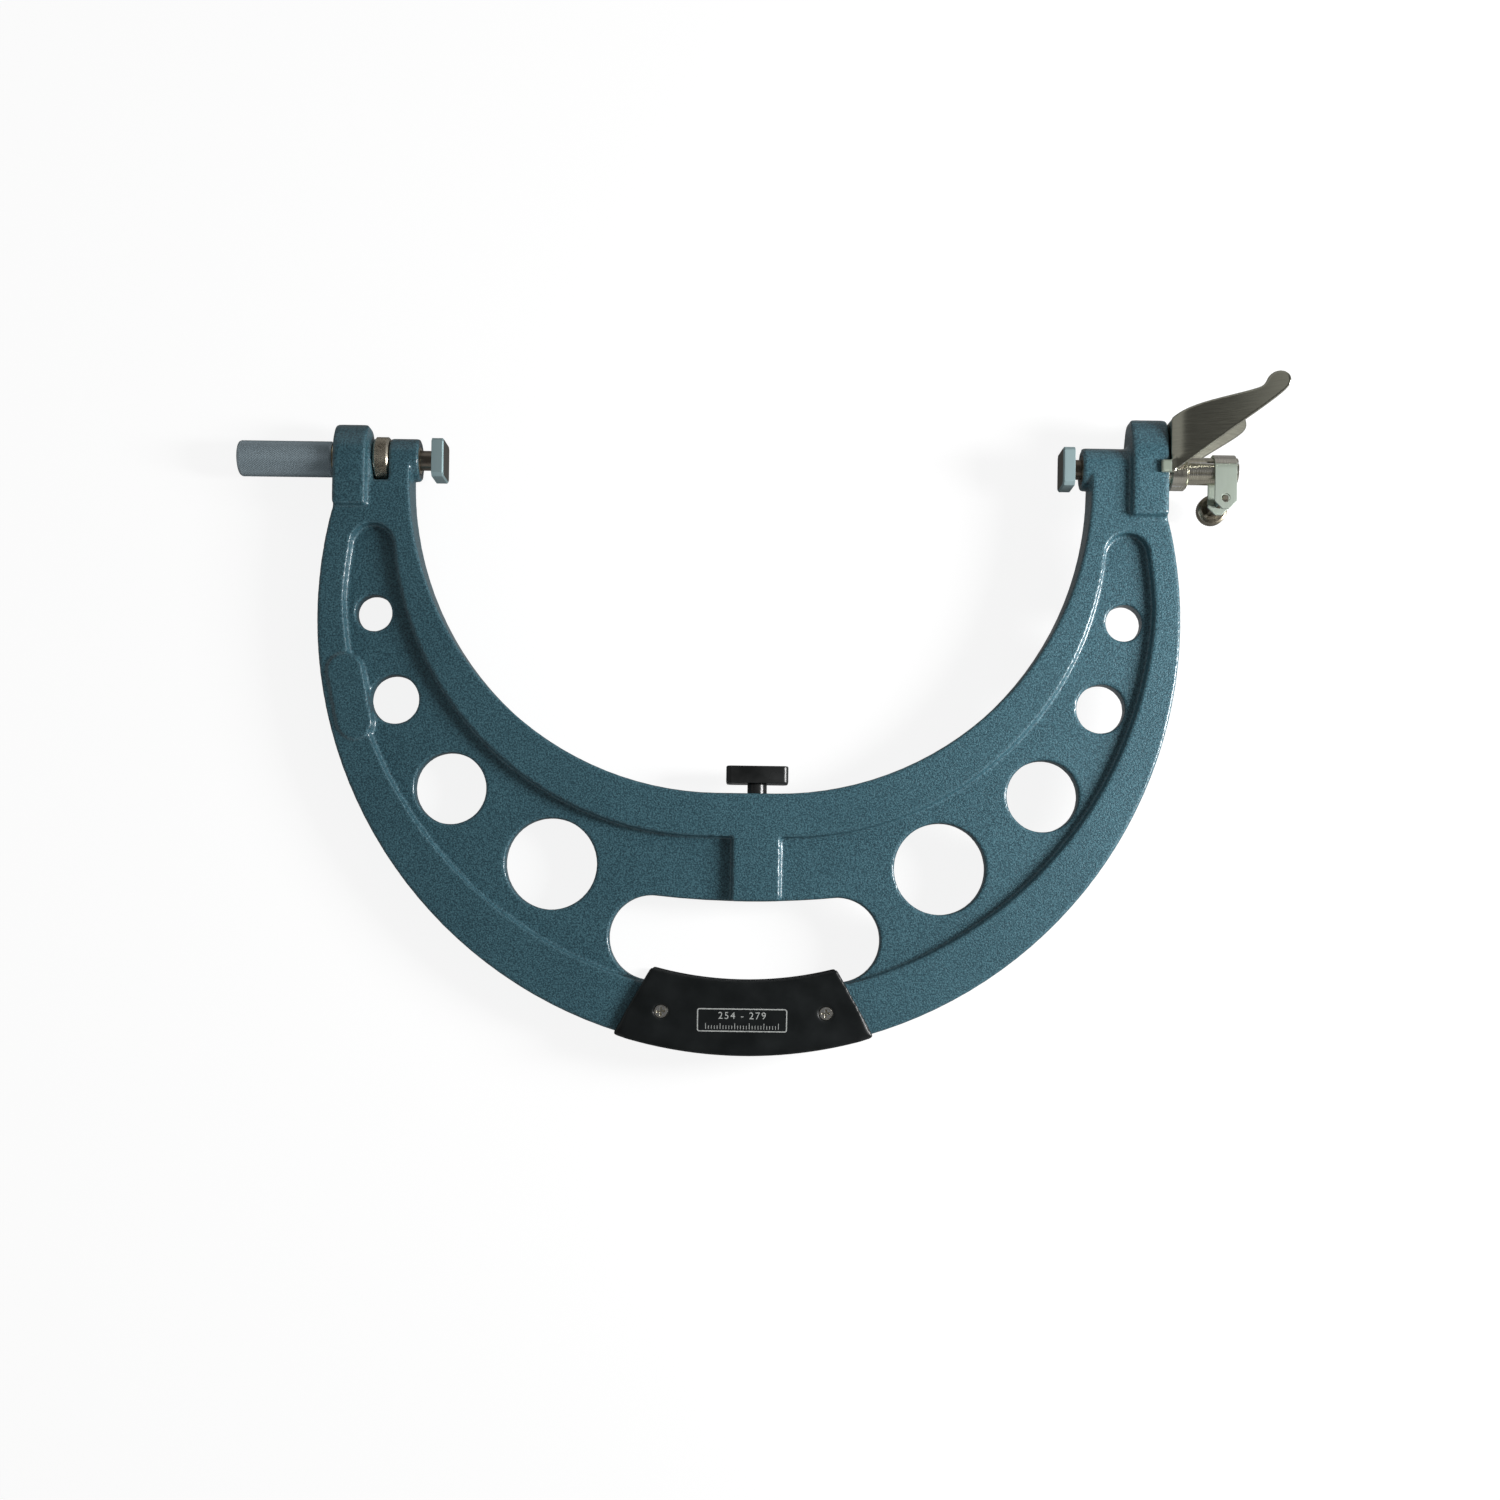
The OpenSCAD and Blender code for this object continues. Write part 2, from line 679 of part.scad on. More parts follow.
// Coil between the spindle's shoulder and the tube's spigot, with a round wire
module return_spring() {
    sides = 8;
    per_turn = 16;
    rings = round(spring_turns * per_turn);
    wire_r = spring_wire / 2;
    start = spring_left + wire_r;
    rise = (spigot_left - spring_left - spring_wire) / rings;
    points = [
        for (i = [0 : rings], j = [0 : sides - 1])
            let (turn = 360 * i / per_turn, around = 360 * j / sides, r = spring_mean_r + wire_r * cos(around))
                [start + i * rise + wire_r * sin(around), r * cos(turn), r * sin(turn)]
    ];
    walls = [
        for (i = [0 : rings - 1], j = [0 : sides - 1])
            let (k = (j + 1) % sides)
                [i * sides + j, i * sides + k, (i + 1) * sides + k, (i + 1) * sides + j]
    ];
    first = [for (j = [0 : sides - 1]) sides - 1 - j];
    last = [for (j = [0 : sides - 1]) rings * sides + j];
    color([0.5, 0.5, 0.52]) polyhedron(points, concat(walls, [first, last]));
}

module stem_tube() {
    pin_slot = ring_pin_d + 2 * free_gap;
    color([0.6, 0.58, 0.52])
    difference() {
        union() {
            rod_x(spigot_left, boss_reach, spigot_d);
            rod_x(boss_reach, tube_right, tube_d);
        }
        rod_x(spigot_left - overcut, stem_seat, spindle_d + 2 * running_fit);
        rod_x(stem_seat, tube_right + overcut, stem_bore_d);
        block(
            [ring_pin_x - pin_slot / 2, -pin_slot / 2, -tube_d],
            [ring_pin_x + right_travel + pin_slot / 2, pin_slot / 2, tube_d]
        );
        rotate([slit_turn, 0, 0]) block([stem_seat, 0, -slit_w / 2], [tube_right + overcut, tube_d, slit_w / 2]);
    }
}

module lifting_ring() {
    edge = ring_w / 8;
    color([0.58, 0.54, 0.45])
    difference() {
        union() {
            rod_x(ring_left, ring_right - edge, ring_d);
            along_x(ring_right - edge) cylinder(d1 = ring_d, d2 = ring_d - 2 * edge, h = edge);
        }
        rod_x(ring_left - overcut, ring_right + overcut, tube_d + 2 * free_gap);
        translate([ring_pin_x, 0, -ring_d]) cylinder(d = ring_pin_d, h = 2 * ring_d);
    }
}

module ring_pin() {
    length = ring_d - ring_pin_d / 2;
    color([0.3, 0.3, 0.3]) translate([ring_pin_x, 0, -length / 2]) cylinder(d = ring_pin_d, h = length);
}

// Strap bent over the tube, with two flat lugs below it
module clamp_strap() {
    corner = strap_w / 4;
    color([0.66, 0.68, 0.62])
    difference() {
        along_x(strap_left) linear_extrude(strap_w) difference() {
            union() {
                circle(r = strap_out);
                translate([-strap_out, -lug_drop]) square([2 * strap_out, lug_drop]);
            }
            circle(r = strap_in);
            translate([-strap_in, -lug_drop - overcut]) square([2 * strap_in, lug_drop + overcut]);
        }
        translate([strap_mid, -clamp_screw_drop, -strap_out - overcut])
            cylinder(d = clamp_screw_d + 2 * running_fit, h = 2 * strap_out + 2 * overcut);
        for (side = [-1, 1]) translate([strap_mid + side * strap_w / 2, -lug_drop, -2 * strap_out])
            rotate(45) translate([-corner, -corner, 0]) cube([2 * corner, 2 * corner, 4 * strap_out]);
    }
}

module clamp_screw() {
    edge = knob_t / 9;
    shoulder_z = -strap_out - free_gap;
    knob_front = shoulder_z - knob_standoff;
    knob_back = knob_front - knob_t;
    color([0.55, 0.48, 0.36]) translate([strap_mid, -clamp_screw_drop, 0]) rotate_extrude() polygon([
        [0, strap_out],
        [clamp_screw_d / 2, strap_out],
        [clamp_screw_d / 2, shoulder_z],
        [clamp_screw_d, shoulder_z],
        [clamp_screw_d, knob_front],
        [knob_d / 2 - edge, knob_front],
        [knob_d / 2, knob_front - edge],
        [knob_d / 2, knob_back + edge],
        [knob_d / 2 - edge, knob_back],
        [0, knob_back]
    ]);
}

// Side view of a wing: a broad root that narrows to a round, upturned tip
function wing_outline() =
    let (
        span = wing_tip_x - lever_left,
        tip = [wing_tip_x - lever_tip_r, lever_rise - lever_tip_r],
        neck = tip + lever_tip_r * [cos(tip_start_angle), sin(tip_start_angle)],
        root_top = [lever_left, lever_root_rise],
        root_low = [lever_left, -lever_root_drop],
        saddle = [tip[0] - 1.65 * lever_tip_r, tip[1] - 0.33 * lever_tip_r],
        chin = tip + lever_tip_r * [cos(tip_end_angle), sin(tip_end_angle)]
    )
    concat(
        bezier(
            root_top,
            [lever_left + 0.17 * span, lever_root_rise + 1.45 * lever_tip_r],
            [lever_left + 0.5 * span, lever_root_rise + 1.5 * lever_tip_r],
            saddle
        ),
        bezier(saddle, saddle + [0.45, 0.12] * lever_tip_r, neck - [0.25, 0.6] * lever_tip_r, neck, 5),
        arc(tip, lever_tip_r, tip_start_angle, tip_end_angle),
        bezier(
            chin,
            chin + [-0.7, -0.95] * lever_tip_r,
            root_low + [0.57 * span, lever_root_drop + 0.43 * lever_rise],
            root_low
        )
    );

// Curved sheet that carries a wing outwards from the web
module wing() {
    intersection() {
        linear_extrude(2 * wing_arc_r) polygon(wing_outline());
        translate([wing_centre_x, reach_all, wing_centre_z]) rotate([90, 0, 0]) difference() {
            cylinder(r = wing_arc_r + lever_t, h = 2 * reach_all, $fn = 240);
            translate([0, 0, -overcut]) cylinder(r = wing_arc_r, h = 2 * reach_all + 2 * overcut, $fn = 240);
        }
        block([lever_left, -reach_all, ear_in], [2 * reach_all, reach_all, wing_centre_z]);
    }
}

// One stamping: a web that straddles the tube, two ears along the boss and two wings
module lifting_lever() {
    ear_top = -ear_drop + ear_h / 2;
    color([0.55, 0.54, 0.48])
    difference() {
        union() {
            difference() {
                block([lever_left, -ear_drop - ear_h / 2, -ear_out], [lever_right, lever_root_rise, ear_out]);
                rod_x(lever_left - overcut, lever_right + overcut, 2 * lever_notch_r);
                block(
                    [lever_left - overcut, -ear_drop - ear_h, -lever_notch_r],
                    [lever_right + overcut, 0, lever_notch_r]
                );
                block(
                    [lever_left - overcut, -ear_drop - ear_h, -ear_in],
                    [lever_right + overcut, ear_top, ear_in]
                );
            }
            for (face = [0, 1]) mirror([0, 0, face]) {
                block(
                    [boss_reach - ear_len, -ear_drop - ear_h / 2, ear_in],
                    [lever_right, ear_top, ear_out]
                );
                wing();
            }
        }
        for (face = [0, 1]) mirror([0, 0, face]) translate([pivot_x, -ear_drop, 0])
            cylinder(d = pivot_d + 2 * running_fit, h = boss_half + pivot_reach + free_gap / 2);
    }
}

module lever_pivot_pins() {
    color([0.35, 0.35, 0.35])
        for (face = [0, 1]) mirror([0, 0, face])
            translate([pivot_x, -ear_drop, boss_half - pivot_depth])
                cylinder(d = pivot_d, h = pivot_depth + pivot_reach);
}

module stop_pad() {
    half = stop_pad_t / 2;
    color([0.05, 0.05, 0.05])
    translate([stop_x, -stop_top, 0]) rotate([90, 0, 0]) linear_extrude(stop_pad_h) {
        for (side = [-1, 1], face = [-1, 1])
            translate([side * (stop_pad_w / 2 - stop_pad_r), face * (half - stop_pad_r)]) circle(r = stop_pad_r);
        square([stop_pad_w - 2 * stop_pad_r, stop_pad_t], center = true);
        square([stop_pad_w, stop_pad_t - 2 * stop_pad_r], center = true);
    }
}

module stop_rod() {
    color([0.07, 0.07, 0.07])
        translate([stop_x, -stop_bottom, 0]) rotate([90, 0, 0]) cylinder(d = stop_rod_d, h = stop_rod_len);
}

module stop_lock_screw() {
    length = rim_half - stop_rod_d / 2 - running_fit - free_gap / 2;
    socket_d = stop_screw_d / 2;
    color([0.2, 0.2, 0.2]) translate([stop_x, -stop_screw_drop, -rim_half]) difference() {
        cylinder(d = stop_screw_d, h = length);
        translate([0, 0, -overcut]) cylinder(d = socket_d, h = socket_d + overcut, $fn = 6);
    }
}

frame();
grip_front();
grip_rear();
grip_front_screws();
grip_rear_screws();
adjustable_spindle();
adjustable_anvil();
adjustable_anvil_face();
adjusting_nut();
lock_sleeve();
lock_collet();
adjustable_guide_bush();
spindle_key_screw();
retractable_spindle();
retractable_anvil();
retractable_anvil_face();
retractable_guide_bush();
return_spring();
stem_tube();
lifting_ring();
ring_pin();
clamp_strap();
clamp_screw();
lifting_lever();
lever_pivot_pins();
stop_pad();
stop_rod();
stop_lock_screw();
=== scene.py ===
"""Looks of a large indicating snap gauge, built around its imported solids.

Everything is in metres in the row frame: X along the measuring line, Y from the grip to the anvils, Z out of
the front. Each sub-assembly is a class that builds its pieces and dresses them in its finishes.
"""

import json
import logging
import math
from dataclasses import dataclass, field
from enum import Enum
from typing import Callable, Sequence

import bmesh
import bpy
import numpy as np
from mathutils import Matrix, Vector
from mathutils.bvhtree import BVHTree


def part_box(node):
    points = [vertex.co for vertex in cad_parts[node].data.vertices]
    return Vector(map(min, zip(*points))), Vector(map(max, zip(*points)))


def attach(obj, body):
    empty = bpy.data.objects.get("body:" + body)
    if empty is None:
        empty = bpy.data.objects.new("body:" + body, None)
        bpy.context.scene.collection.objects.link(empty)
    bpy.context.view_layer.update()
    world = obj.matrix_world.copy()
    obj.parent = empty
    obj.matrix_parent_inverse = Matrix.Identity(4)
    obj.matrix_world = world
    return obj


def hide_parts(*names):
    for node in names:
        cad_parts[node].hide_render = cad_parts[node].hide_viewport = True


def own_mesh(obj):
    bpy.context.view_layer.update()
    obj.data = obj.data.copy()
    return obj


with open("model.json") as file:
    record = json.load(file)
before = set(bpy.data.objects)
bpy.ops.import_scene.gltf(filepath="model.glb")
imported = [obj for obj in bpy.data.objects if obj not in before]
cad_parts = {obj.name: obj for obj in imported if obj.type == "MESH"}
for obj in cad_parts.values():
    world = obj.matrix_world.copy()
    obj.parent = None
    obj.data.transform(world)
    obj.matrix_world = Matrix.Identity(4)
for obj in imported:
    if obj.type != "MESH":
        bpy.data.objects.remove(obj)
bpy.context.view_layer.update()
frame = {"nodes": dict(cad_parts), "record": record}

MM = 0.001
log = logging.getLogger("snap_gauge")

Colour = tuple[float, float, float]
Point = tuple[float, float, float]
Box = tuple[Point, Point]
Material = bpy.types.Material
Mesh = bpy.types.Mesh
Shape = bmesh.types.BMesh
ShapePoint = bmesh.types.BMVert
Socket = bpy.types.NodeSocket


class Slot(Enum):
    """Material slots of the record."""

    PAINT = "frame_paint"
    STEEL = "satin_steel"
    HARD = "hard_face"
    NICKEL = "nickel"
    BRONZE = "bronze_nickel"
    BRASS = "brass"
    BLACK = "black_finish"
    GRIP = "grip_plastic"
    SPRING = "spring_steel"


# Shader tools


class TreeSketch:
    """A small builder for the node tree of a material or of the world."""

    def __init__(self, tree: bpy.types.NodeTree) -> None:
        """Empties the tree.

        Args:
            tree: Node tree to build in.
        """
        self.tree = tree
        tree.nodes.clear()

    def link(self, source: Socket, target: Socket) -> None:
        """Joins two sockets."""
        self.tree.links.new(source, target)

    def fill(self, socket: Socket, value: object) -> None:
        """Feeds a socket.

        Args:
            socket: Input socket.
            value: A number, a colour or another node's output.
        """
        if isinstance(value, bpy.types.NodeSocket):
            self.link(value, socket)
        else:
            socket.default_value = (*value, 1.0) if isinstance(value, tuple) else value

    def node(self, kind: str, **inputs: object) -> bpy.types.Node:
        """Adds a node and feeds its input sockets.

        Args:
            kind: Type of the node without its ShaderNode prefix.
            inputs: Socket names in lower case with underscores, and what feeds them.

        Returns:
            The new node.
        """
        made = self.tree.nodes.new("ShaderNode" + kind)
        for name, value in inputs.items():
            self.fill(made.inputs[name.replace("_", " ").title()], value)
        return made

    def ramp(self, factor: Socket, stops: Sequence[tuple[float, Colour]]) -> Socket:
        """Turns a factor into colours.

        Args:
            factor: Value from 0 to 1.
            stops: Positions and colours of the ramp.

        Returns:
            The ramp's colour socket.
        """
        made = self.node("ValToRGB", fac=factor)
        elements = made.color_ramp.elements
        while len(elements) < len(stops):
            elements.new(0.5)
        for element, (position, colour) in zip(elements, stops):
            element.position = position
            element.color = (*colour, 1.0)
        return made.outputs["Color"]

    def mixed(self, kind: str, factor: float | Socket, first: object, second: object) -> Socket:
        """Mixes two colours.

        Args:
            kind: Blend type, such as MIX or MULTIPLY.
            factor: Share of the second colour.
            first: Socket or colour.
            second: Socket or colour.

        Returns:
            The mixed colour socket.
        """
        made = self.tree.nodes.new("ShaderNodeMix")
        made.data_type = "RGBA"
        made.blend_type = kind
        for index, value in zip((0, 6, 7), (factor, first, second)):  # the colour mix's own sockets
            self.fill(made.inputs[index], value)
        return made.outputs[2]

    def spread(self, value: Socket, low: float, high: float, start: float = 0.3, end: float = 0.7) -> Socket:
        """Maps a noise's usual span onto another span.

        Args:
            value: Value to map.
            low: Result at start.
            high: Result at end.
            start: Value that gives low.
            end: Value that gives high.

        Returns:
            The mapped value's socket.
        """
        made = self.node("MapRange", value=value, from_min=start, from_max=end, to_min=low, to_max=high)
        return made.outputs["Result"]


class MaterialSketch(TreeSketch):
    """A builder for one material with a principled shader."""

    def __init__(self, name: str) -> None:
        """Starts the material.

        Args:
            name: Name of the material.
        """
        self.material = bpy.data.materials.new(name)
        self.material.use_nodes = True
        super().__init__(self.material.node_tree)
        self.output = self.node("OutputMaterial")
        self.shader = self.node("BsdfPrincipled")
        self.link(self.shader.outputs["BSDF"], self.output.inputs["Surface"])
        self.place = self.node("TexCoord").outputs["Object"]

    def set(self, **values: object) -> None:
        """Feeds the principled shader's own sockets.

        Args:
            values: Socket names in lower case with underscores, and what feeds them.
        """
        for name, value in values.items():
            title = name.replace("_", " ").title().replace("Ior", "IOR")
            self.fill(self.shader.inputs[title], value)

    def stretched(self, scale: Point) -> Socket:
        """Returns the object coordinates multiplied by a scale for each axis."""
        mapping = self.node("Mapping", vector=self.place)
        mapping.inputs["Scale"].default_value = scale
        return mapping.outputs["Vector"]

    def noise(self, grain: float, detail: float = 2.0, place: Socket | None = None) -> Socket:
        """Makes a noise of a given grain.

        Args:
            grain: Size of the noise's features in metres.
            detail: Octaves of finer noise.
            place: Coordinates, the object's own where left out.

        Returns:
            The noise's factor socket.
        """
        made = self.node("TexNoise", vector=place or self.place, scale=1.0 / grain, detail=detail)
        return made.outputs["Fac"]

    def bump(self, height: Socket, depth: float, strength: float) -> None:
        """Puts a bump of a given depth in metres on the shader."""
        made = self.node("Bump", height=height, distance=depth, strength=strength)
        self.set(normal=made.outputs["Normal"])

    def edges(self, start: float = 0.52, end: float = 0.58) -> Socket:
        """Returns a factor that is 1 on sharp outer edges."""
        return self.spread(self.node("NewGeometry").outputs["Pointiness"], 0.0, 1.0, start, end)


# Finishes


@dataclass(frozen=True)
class HammeredPaint:
    """Blue-green hammered paint on a casting.

    The paint pools in fine cells, so it is darker in the hollows and paler on the crowns.

    Attributes:
        dark: Colour of the hollows.
        middle: Colour between.
        pale: Colour of the crowns.
        shade: Tint of the wide, slightly darker clouds.
        cell: Size of the cells in metres.
        cloud: Size of the clouds.
        relief: Height of the cells.
        gloss: Roughness of the clear top coat.
    """

    dark: Colour = (0.024, 0.078, 0.104)
    middle: Colour = (0.052, 0.145, 0.186)
    pale: Colour = (0.096, 0.232, 0.284)
    shade: Colour = (0.86, 0.89, 0.90)
    cell: float = 0.72 * MM
    cloud: float = 45 * MM
    relief: float = 0.25 * MM
    gloss: float = 0.17

    def material(self) -> Material:
        """Makes the paint's material."""
        sketch = MaterialSketch("hammered_paint")
        cells = sketch.noise(self.cell, 2.5)
        specks = sketch.noise(self.cell * 0.5, 1.0)
        colour = sketch.ramp(cells, [(0.36, self.dark), (0.5, self.middle), (0.66, self.pale)])
        clouds = sketch.ramp(sketch.noise(self.cloud), [(0.3, self.shade), (0.7, (1.0, 1.0, 1.0))])
        sketch.set(base_color=sketch.mixed("MULTIPLY", 1.0, colour, clouds),
                   roughness=sketch.spread(specks, 0.34, 0.56), metallic=0.1, coat_weight=0.8,
                   coat_roughness=self.gloss, specular_ior_level=0.45)
        sketch.bump(sketch.mixed("ADD", 0.3, cells, specks), self.relief, 0.8)
        return sketch.material


@dataclass(frozen=True)
class WorkedMetal:
    """Bare or plated metal with tool marks that run one way.

    Attributes:
        name: Name of the material.
        tone: Colour of the metal.
        stain: Colour of its darker streaks.
        rough: Lowest and highest roughness.
        marks: Size of the marks along each axis, in metres.
        depth: Depth of the marks.
        edge: Colour of worn edges, which is also a painted highlight on every sharp outer edge.
        patina: Share of the stain in patches.
        metal: How metallic the surface is; a finely blasted one scatters part of the light.
        patch: Size of the patches.
    """

    name: str
    tone: Colour
    stain: Colour
    rough: tuple[float, float]
    marks: Point
    depth: float = 0.01 * MM
    edge: Colour = (0.80, 0.80, 0.78)
    patina: float = 0.35
    metal: float = 1.0
    patch: float = 6 * MM

    def material(self) -> Material:
        """Makes the metal's material."""
        sketch = MaterialSketch(self.name)
        lines = sketch.noise(1.0, 3.0, sketch.stretched(tuple(1.0 / size for size in self.marks)))
        patches = sketch.spread(sketch.noise(self.patch, 3.0), 0.0, self.patina)
        colour = sketch.ramp(lines, [(0.3, self.stain), (0.62, self.tone)])
        colour = sketch.mixed("MIX", patches, colour, self.stain)
        # Sharp outer edges take the edge colour: partly edge wear, partly a painted highlight.
        colour = sketch.mixed("MIX", sketch.edges(), colour, self.edge)
        sketch.set(base_color=colour, roughness=sketch.spread(lines, *self.rough), metallic=self.metal)
        sketch.bump(lines, self.depth, 0.5)
        return sketch.material


@dataclass(frozen=True)
class MouldedBlack:
    """Black plastic or enamel with a fine grain and scuffs.

    Attributes:
        name: Name of the material.
        tone: Colour of the surface.
        scuff: Colour of rubbed places and edges.
        rough: Lowest and highest roughness.
        grain: Size of the grain in metres.
        depth: Depth of the grain.
        rub: Size of the rubbed places.
    """

    name: str
    tone: Colour
    scuff: Colour
    rough: tuple[float, float]
    grain: float = 0.35 * MM
    depth: float = 0.02 * MM
    rub: float = 14 * MM

    def material(self) -> Material:
        """Makes the material."""
        sketch = MaterialSketch(self.name)
        rubbed = sketch.noise(self.rub, 4.0)
        colour = sketch.ramp(rubbed, [(0.35, self.tone), (0.8, self.scuff)])
        colour = sketch.mixed("MIX", sketch.edges(0.53, 0.66), colour, self.scuff)
        sketch.set(base_color=colour, roughness=sketch.spread(rubbed, *self.rough), specular_ior_level=0.45)
        sketch.bump(sketch.noise(self.grain), self.depth, 0.6)
        return sketch.material


@dataclass(frozen=True)
class LabelInk:
    """Pale ink of the label, thin in places."""

    tone: Colour = (0.62, 0.64, 0.62)
    thin: Colour = (0.36, 0.38, 0.37)
    wear: float = 0.8 * MM

    def material(self) -> Material:
        """Makes the ink's material."""
        sketch = MaterialSketch("label_ink")
        worn = sketch.noise(self.wear, 3.0)
        sketch.set(base_color=sketch.ramp(worn, [(0.3, self.thin), (0.6, self.tone)]),
                   roughness=sketch.spread(worn, 0.45, 0.65))
        return sketch.material


# Directions of tool marks: the size of a mark along each axis.
AROUND_X = (0.12 * MM, 6 * MM, 6 * MM)
ALONG_Z = (0.25 * MM, 0.25 * MM, 9 * MM)
ALONG_Y = (0.18 * MM, 9 * MM, 0.18 * MM)
POLISHED = (9 * MM, 0.3 * MM, 9 * MM)
FINE = (0.5 * MM, 0.5 * MM, 0.5 * MM)


class Finishes:
    """Every finish of the gauge, each made once."""

    def __init__(self) -> None:
        """Makes the materials."""
        self.paint = HammeredPaint().material()
        self.anvil = WorkedMetal(
            "satin_anvil", (0.38, 0.54, 0.57), (0.33, 0.475, 0.50), (0.36, 0.46), ALONG_Y,
            edge=(0.43, 0.58, 0.60), metal=0.4).material()
        self.hard = WorkedMetal(
            "hard_face_metal", (0.12, 0.115, 0.085), (0.08, 0.075, 0.055), (0.30, 0.42), ALONG_Z,
            edge=(0.50, 0.50, 0.47)).material()
        self.spindle = WorkedMetal(
            "ground_spindle", (0.22, 0.18, 0.14), (0.12, 0.10, 0.08), (0.26, 0.40), AROUND_X,
            edge=(0.40, 0.36, 0.30)).material()
        # The knurl's ridges take a near-white edge colour, a painted highlight that makes the knurl stand
        # out.
        self.sleeve = WorkedMetal(
            "knurled_sleeve", (0.43, 0.53, 0.585), (0.365, 0.45, 0.495), (0.36, 0.46), FINE,
            edge=(0.82, 0.93, 0.97), patina=0.15, metal=0.6).material()
        # The nut's ridges and chamfers take a golden edge colour, a painted highlight.
        self.nut = WorkedMetal(
            "bronze_nickel_knurl", (0.62, 0.56, 0.45), (0.22, 0.19, 0.15), (0.22, 0.36), FINE,
            edge=(0.86, 0.80, 0.66)).material()
        self.nickel = WorkedMetal(
            "nickel_plate", (0.66, 0.63, 0.51), (0.48, 0.45, 0.36), (0.16, 0.28), AROUND_X).material()
        self.plate = WorkedMetal(
            "nickel_flat", (0.41, 0.475, 0.39), (0.355, 0.41, 0.34), (0.40, 0.50), ALONG_Y,
            edge=(0.45, 0.51, 0.46), metal=0.55).material()
        self.knob = WorkedMetal(
            "bronze_knob", (0.33, 0.30, 0.235), (0.18, 0.155, 0.115), (0.26, 0.40), FINE,
            edge=(0.46, 0.43, 0.35)).material()
        self.screw = WorkedMetal(
            "screw_nickel", (0.80, 0.75, 0.60), (0.42, 0.37, 0.27), (0.24, 0.36), FINE).material()
        self.lever = WorkedMetal(
            "polished_lever", (0.56, 0.555, 0.455), (0.48, 0.475, 0.39), (0.19, 0.26), POLISHED,
            depth=0.003 * MM, edge=(0.72, 0.72, 0.64), patina=0.25).material()
        self.brass = WorkedMetal(
            "turned_brass", (0.66, 0.52, 0.25), (0.44, 0.33, 0.14), (0.20, 0.34), AROUND_X).material()
        self.spring = WorkedMetal(
            "drawn_wire", (0.44, 0.44, 0.45), (0.28, 0.28, 0.29), (0.25, 0.4), AROUND_X).material()
        self.grip = MouldedBlack(
            "grip_plastic", (0.0058, 0.0076, 0.0080), (0.012, 0.015, 0.016), (0.30, 0.42)).material()
        self.enamel = MouldedBlack(
            "black_enamel", (0.011, 0.012, 0.012), (0.040, 0.042, 0.042), (0.18, 0.30)).material()
        self.ink = LabelInk().material()


# Mesh tools

SHARP = math.radians(28.0)  # edges that turn more than this are rounded
FLAT = math.radians(0.6)  # faces that turn less than this are one face
WELD = 0.002 * MM  # points closer than this are one point
TOUCH = 0.05 * MM  # points closer than this to a joint lie on it
ALIKE, SAME = 0.93, 0.99  # cosines between normals: alike starts to follow a solid, the same follows it fully
BLEND_CELLS = 5  # cells over which extra smoothing fades out
ALL_SMOOTH = 180.0  # crease angle that leaves no edge sharp
KNURLED = 24.0  # crease angle that keeps a knurl's ridges sharp

# The grid of cells lies askew to the part, so that no edge runs along it and takes steps.
ASKEW = Matrix.Rotation(math.radians(53.0), 4, "X") @ Matrix.Rotation(math.radians(41.0), 4, "Z")
# Lays a turning's own axis along the measuring line.
ONTO_X = Matrix(((0, 0, 1, 0), (0, 1, 0, 0), (-1, 0, 0, 0), (0, 0, 0, 1)))


def body_of(node: str) -> str:
    """Returns the name of the body that carries a node."""
    bodies: dict[str, list[str]] = frame["record"]["behaviour"]["bodies"]
    return next(body for body, nodes in bodies.items() if node in nodes)


def bare_mesh(node: str) -> Shape:
    """Copies a node's shape without its normals and materials, with its seams closed.

    Args:
        node: Name of the node.

    Returns:
        The copied shape.
    """
    source = frame["nodes"][node].data
    plain = bpy.data.meshes.new("plain")
    plain.from_pydata([v.co[:] for v in source.vertices], [], [p.vertices[:] for p in source.polygons])
    shape = bmesh.new()
    shape.from_mesh(plain)
    bpy.data.meshes.remove(plain)
    bmesh.ops.remove_doubles(shape, verts=shape.verts, dist=WELD)
    return shape


def bevel(shape: Shape, edges: list[bmesh.types.BMEdge], width: float, segments: int) -> None:
    """Rounds some edges of a shape.

    Args:
        shape: Shape to change.
        edges: Its edges to round.
        width: Width of the rounding in metres.
        segments: Number of facets in the rounding; one makes a chamfer.
    """
    bmesh.ops.bevel(shape, geom=edges, offset=width, offset_type="OFFSET", segments=segments, profile=0.5,
                    affect="EDGES", clamp_overlap=True)


def rounded(node: str, width: float, segments: int, joint: float | None = None,
            chamfer: float = 0.0) -> Shape:
    """Copies a node and rounds its sharp edges.

    Args:
        node: Name of the node.
        width: Width of the rounding in metres.
        segments: Number of facets in the rounding.
        joint: X of a flat joint with another piece, whose edges stay sharp.
        chamfer: Width of a chamfer round the face that is opposite the joint.

    Returns:
        The rounded shape.
    """
    shape = bare_mesh(node)
    bmesh.ops.dissolve_limit(shape, angle_limit=FLAT, verts=shape.verts, edges=shape.edges)
    if chamfer:
        far = [e for e in shape.edges if all(abs(v.co.x - joint) > chamfer for v in e.verts)]
        bevel(shape, far, chamfer, 1)
    sharp = [e for e in shape.edges if e.is_manifold and e.calc_face_angle(0.0) > SHARP]
    if joint is not None:
        sharp = [e for e in sharp if any(abs(v.co.x - joint) > TOUCH for v in e.verts)]
    bevel(shape, sharp, width, segments)
    return shape


def stitch(shape: Shape, rings: Sequence[Sequence[ShapePoint]]) -> None:
    """Joins each ring of points to the next one with faces.

    Args:
        shape: Shape that holds the points.
        rings: Rings with the same number of points.
    """
    for ring, following in zip(rings, rings[1:]):
        for i in range(len(ring)):
            k = (i + 1) % len(ring)
            shape.faces.new((ring[i], ring[k], following[k], following[i]))


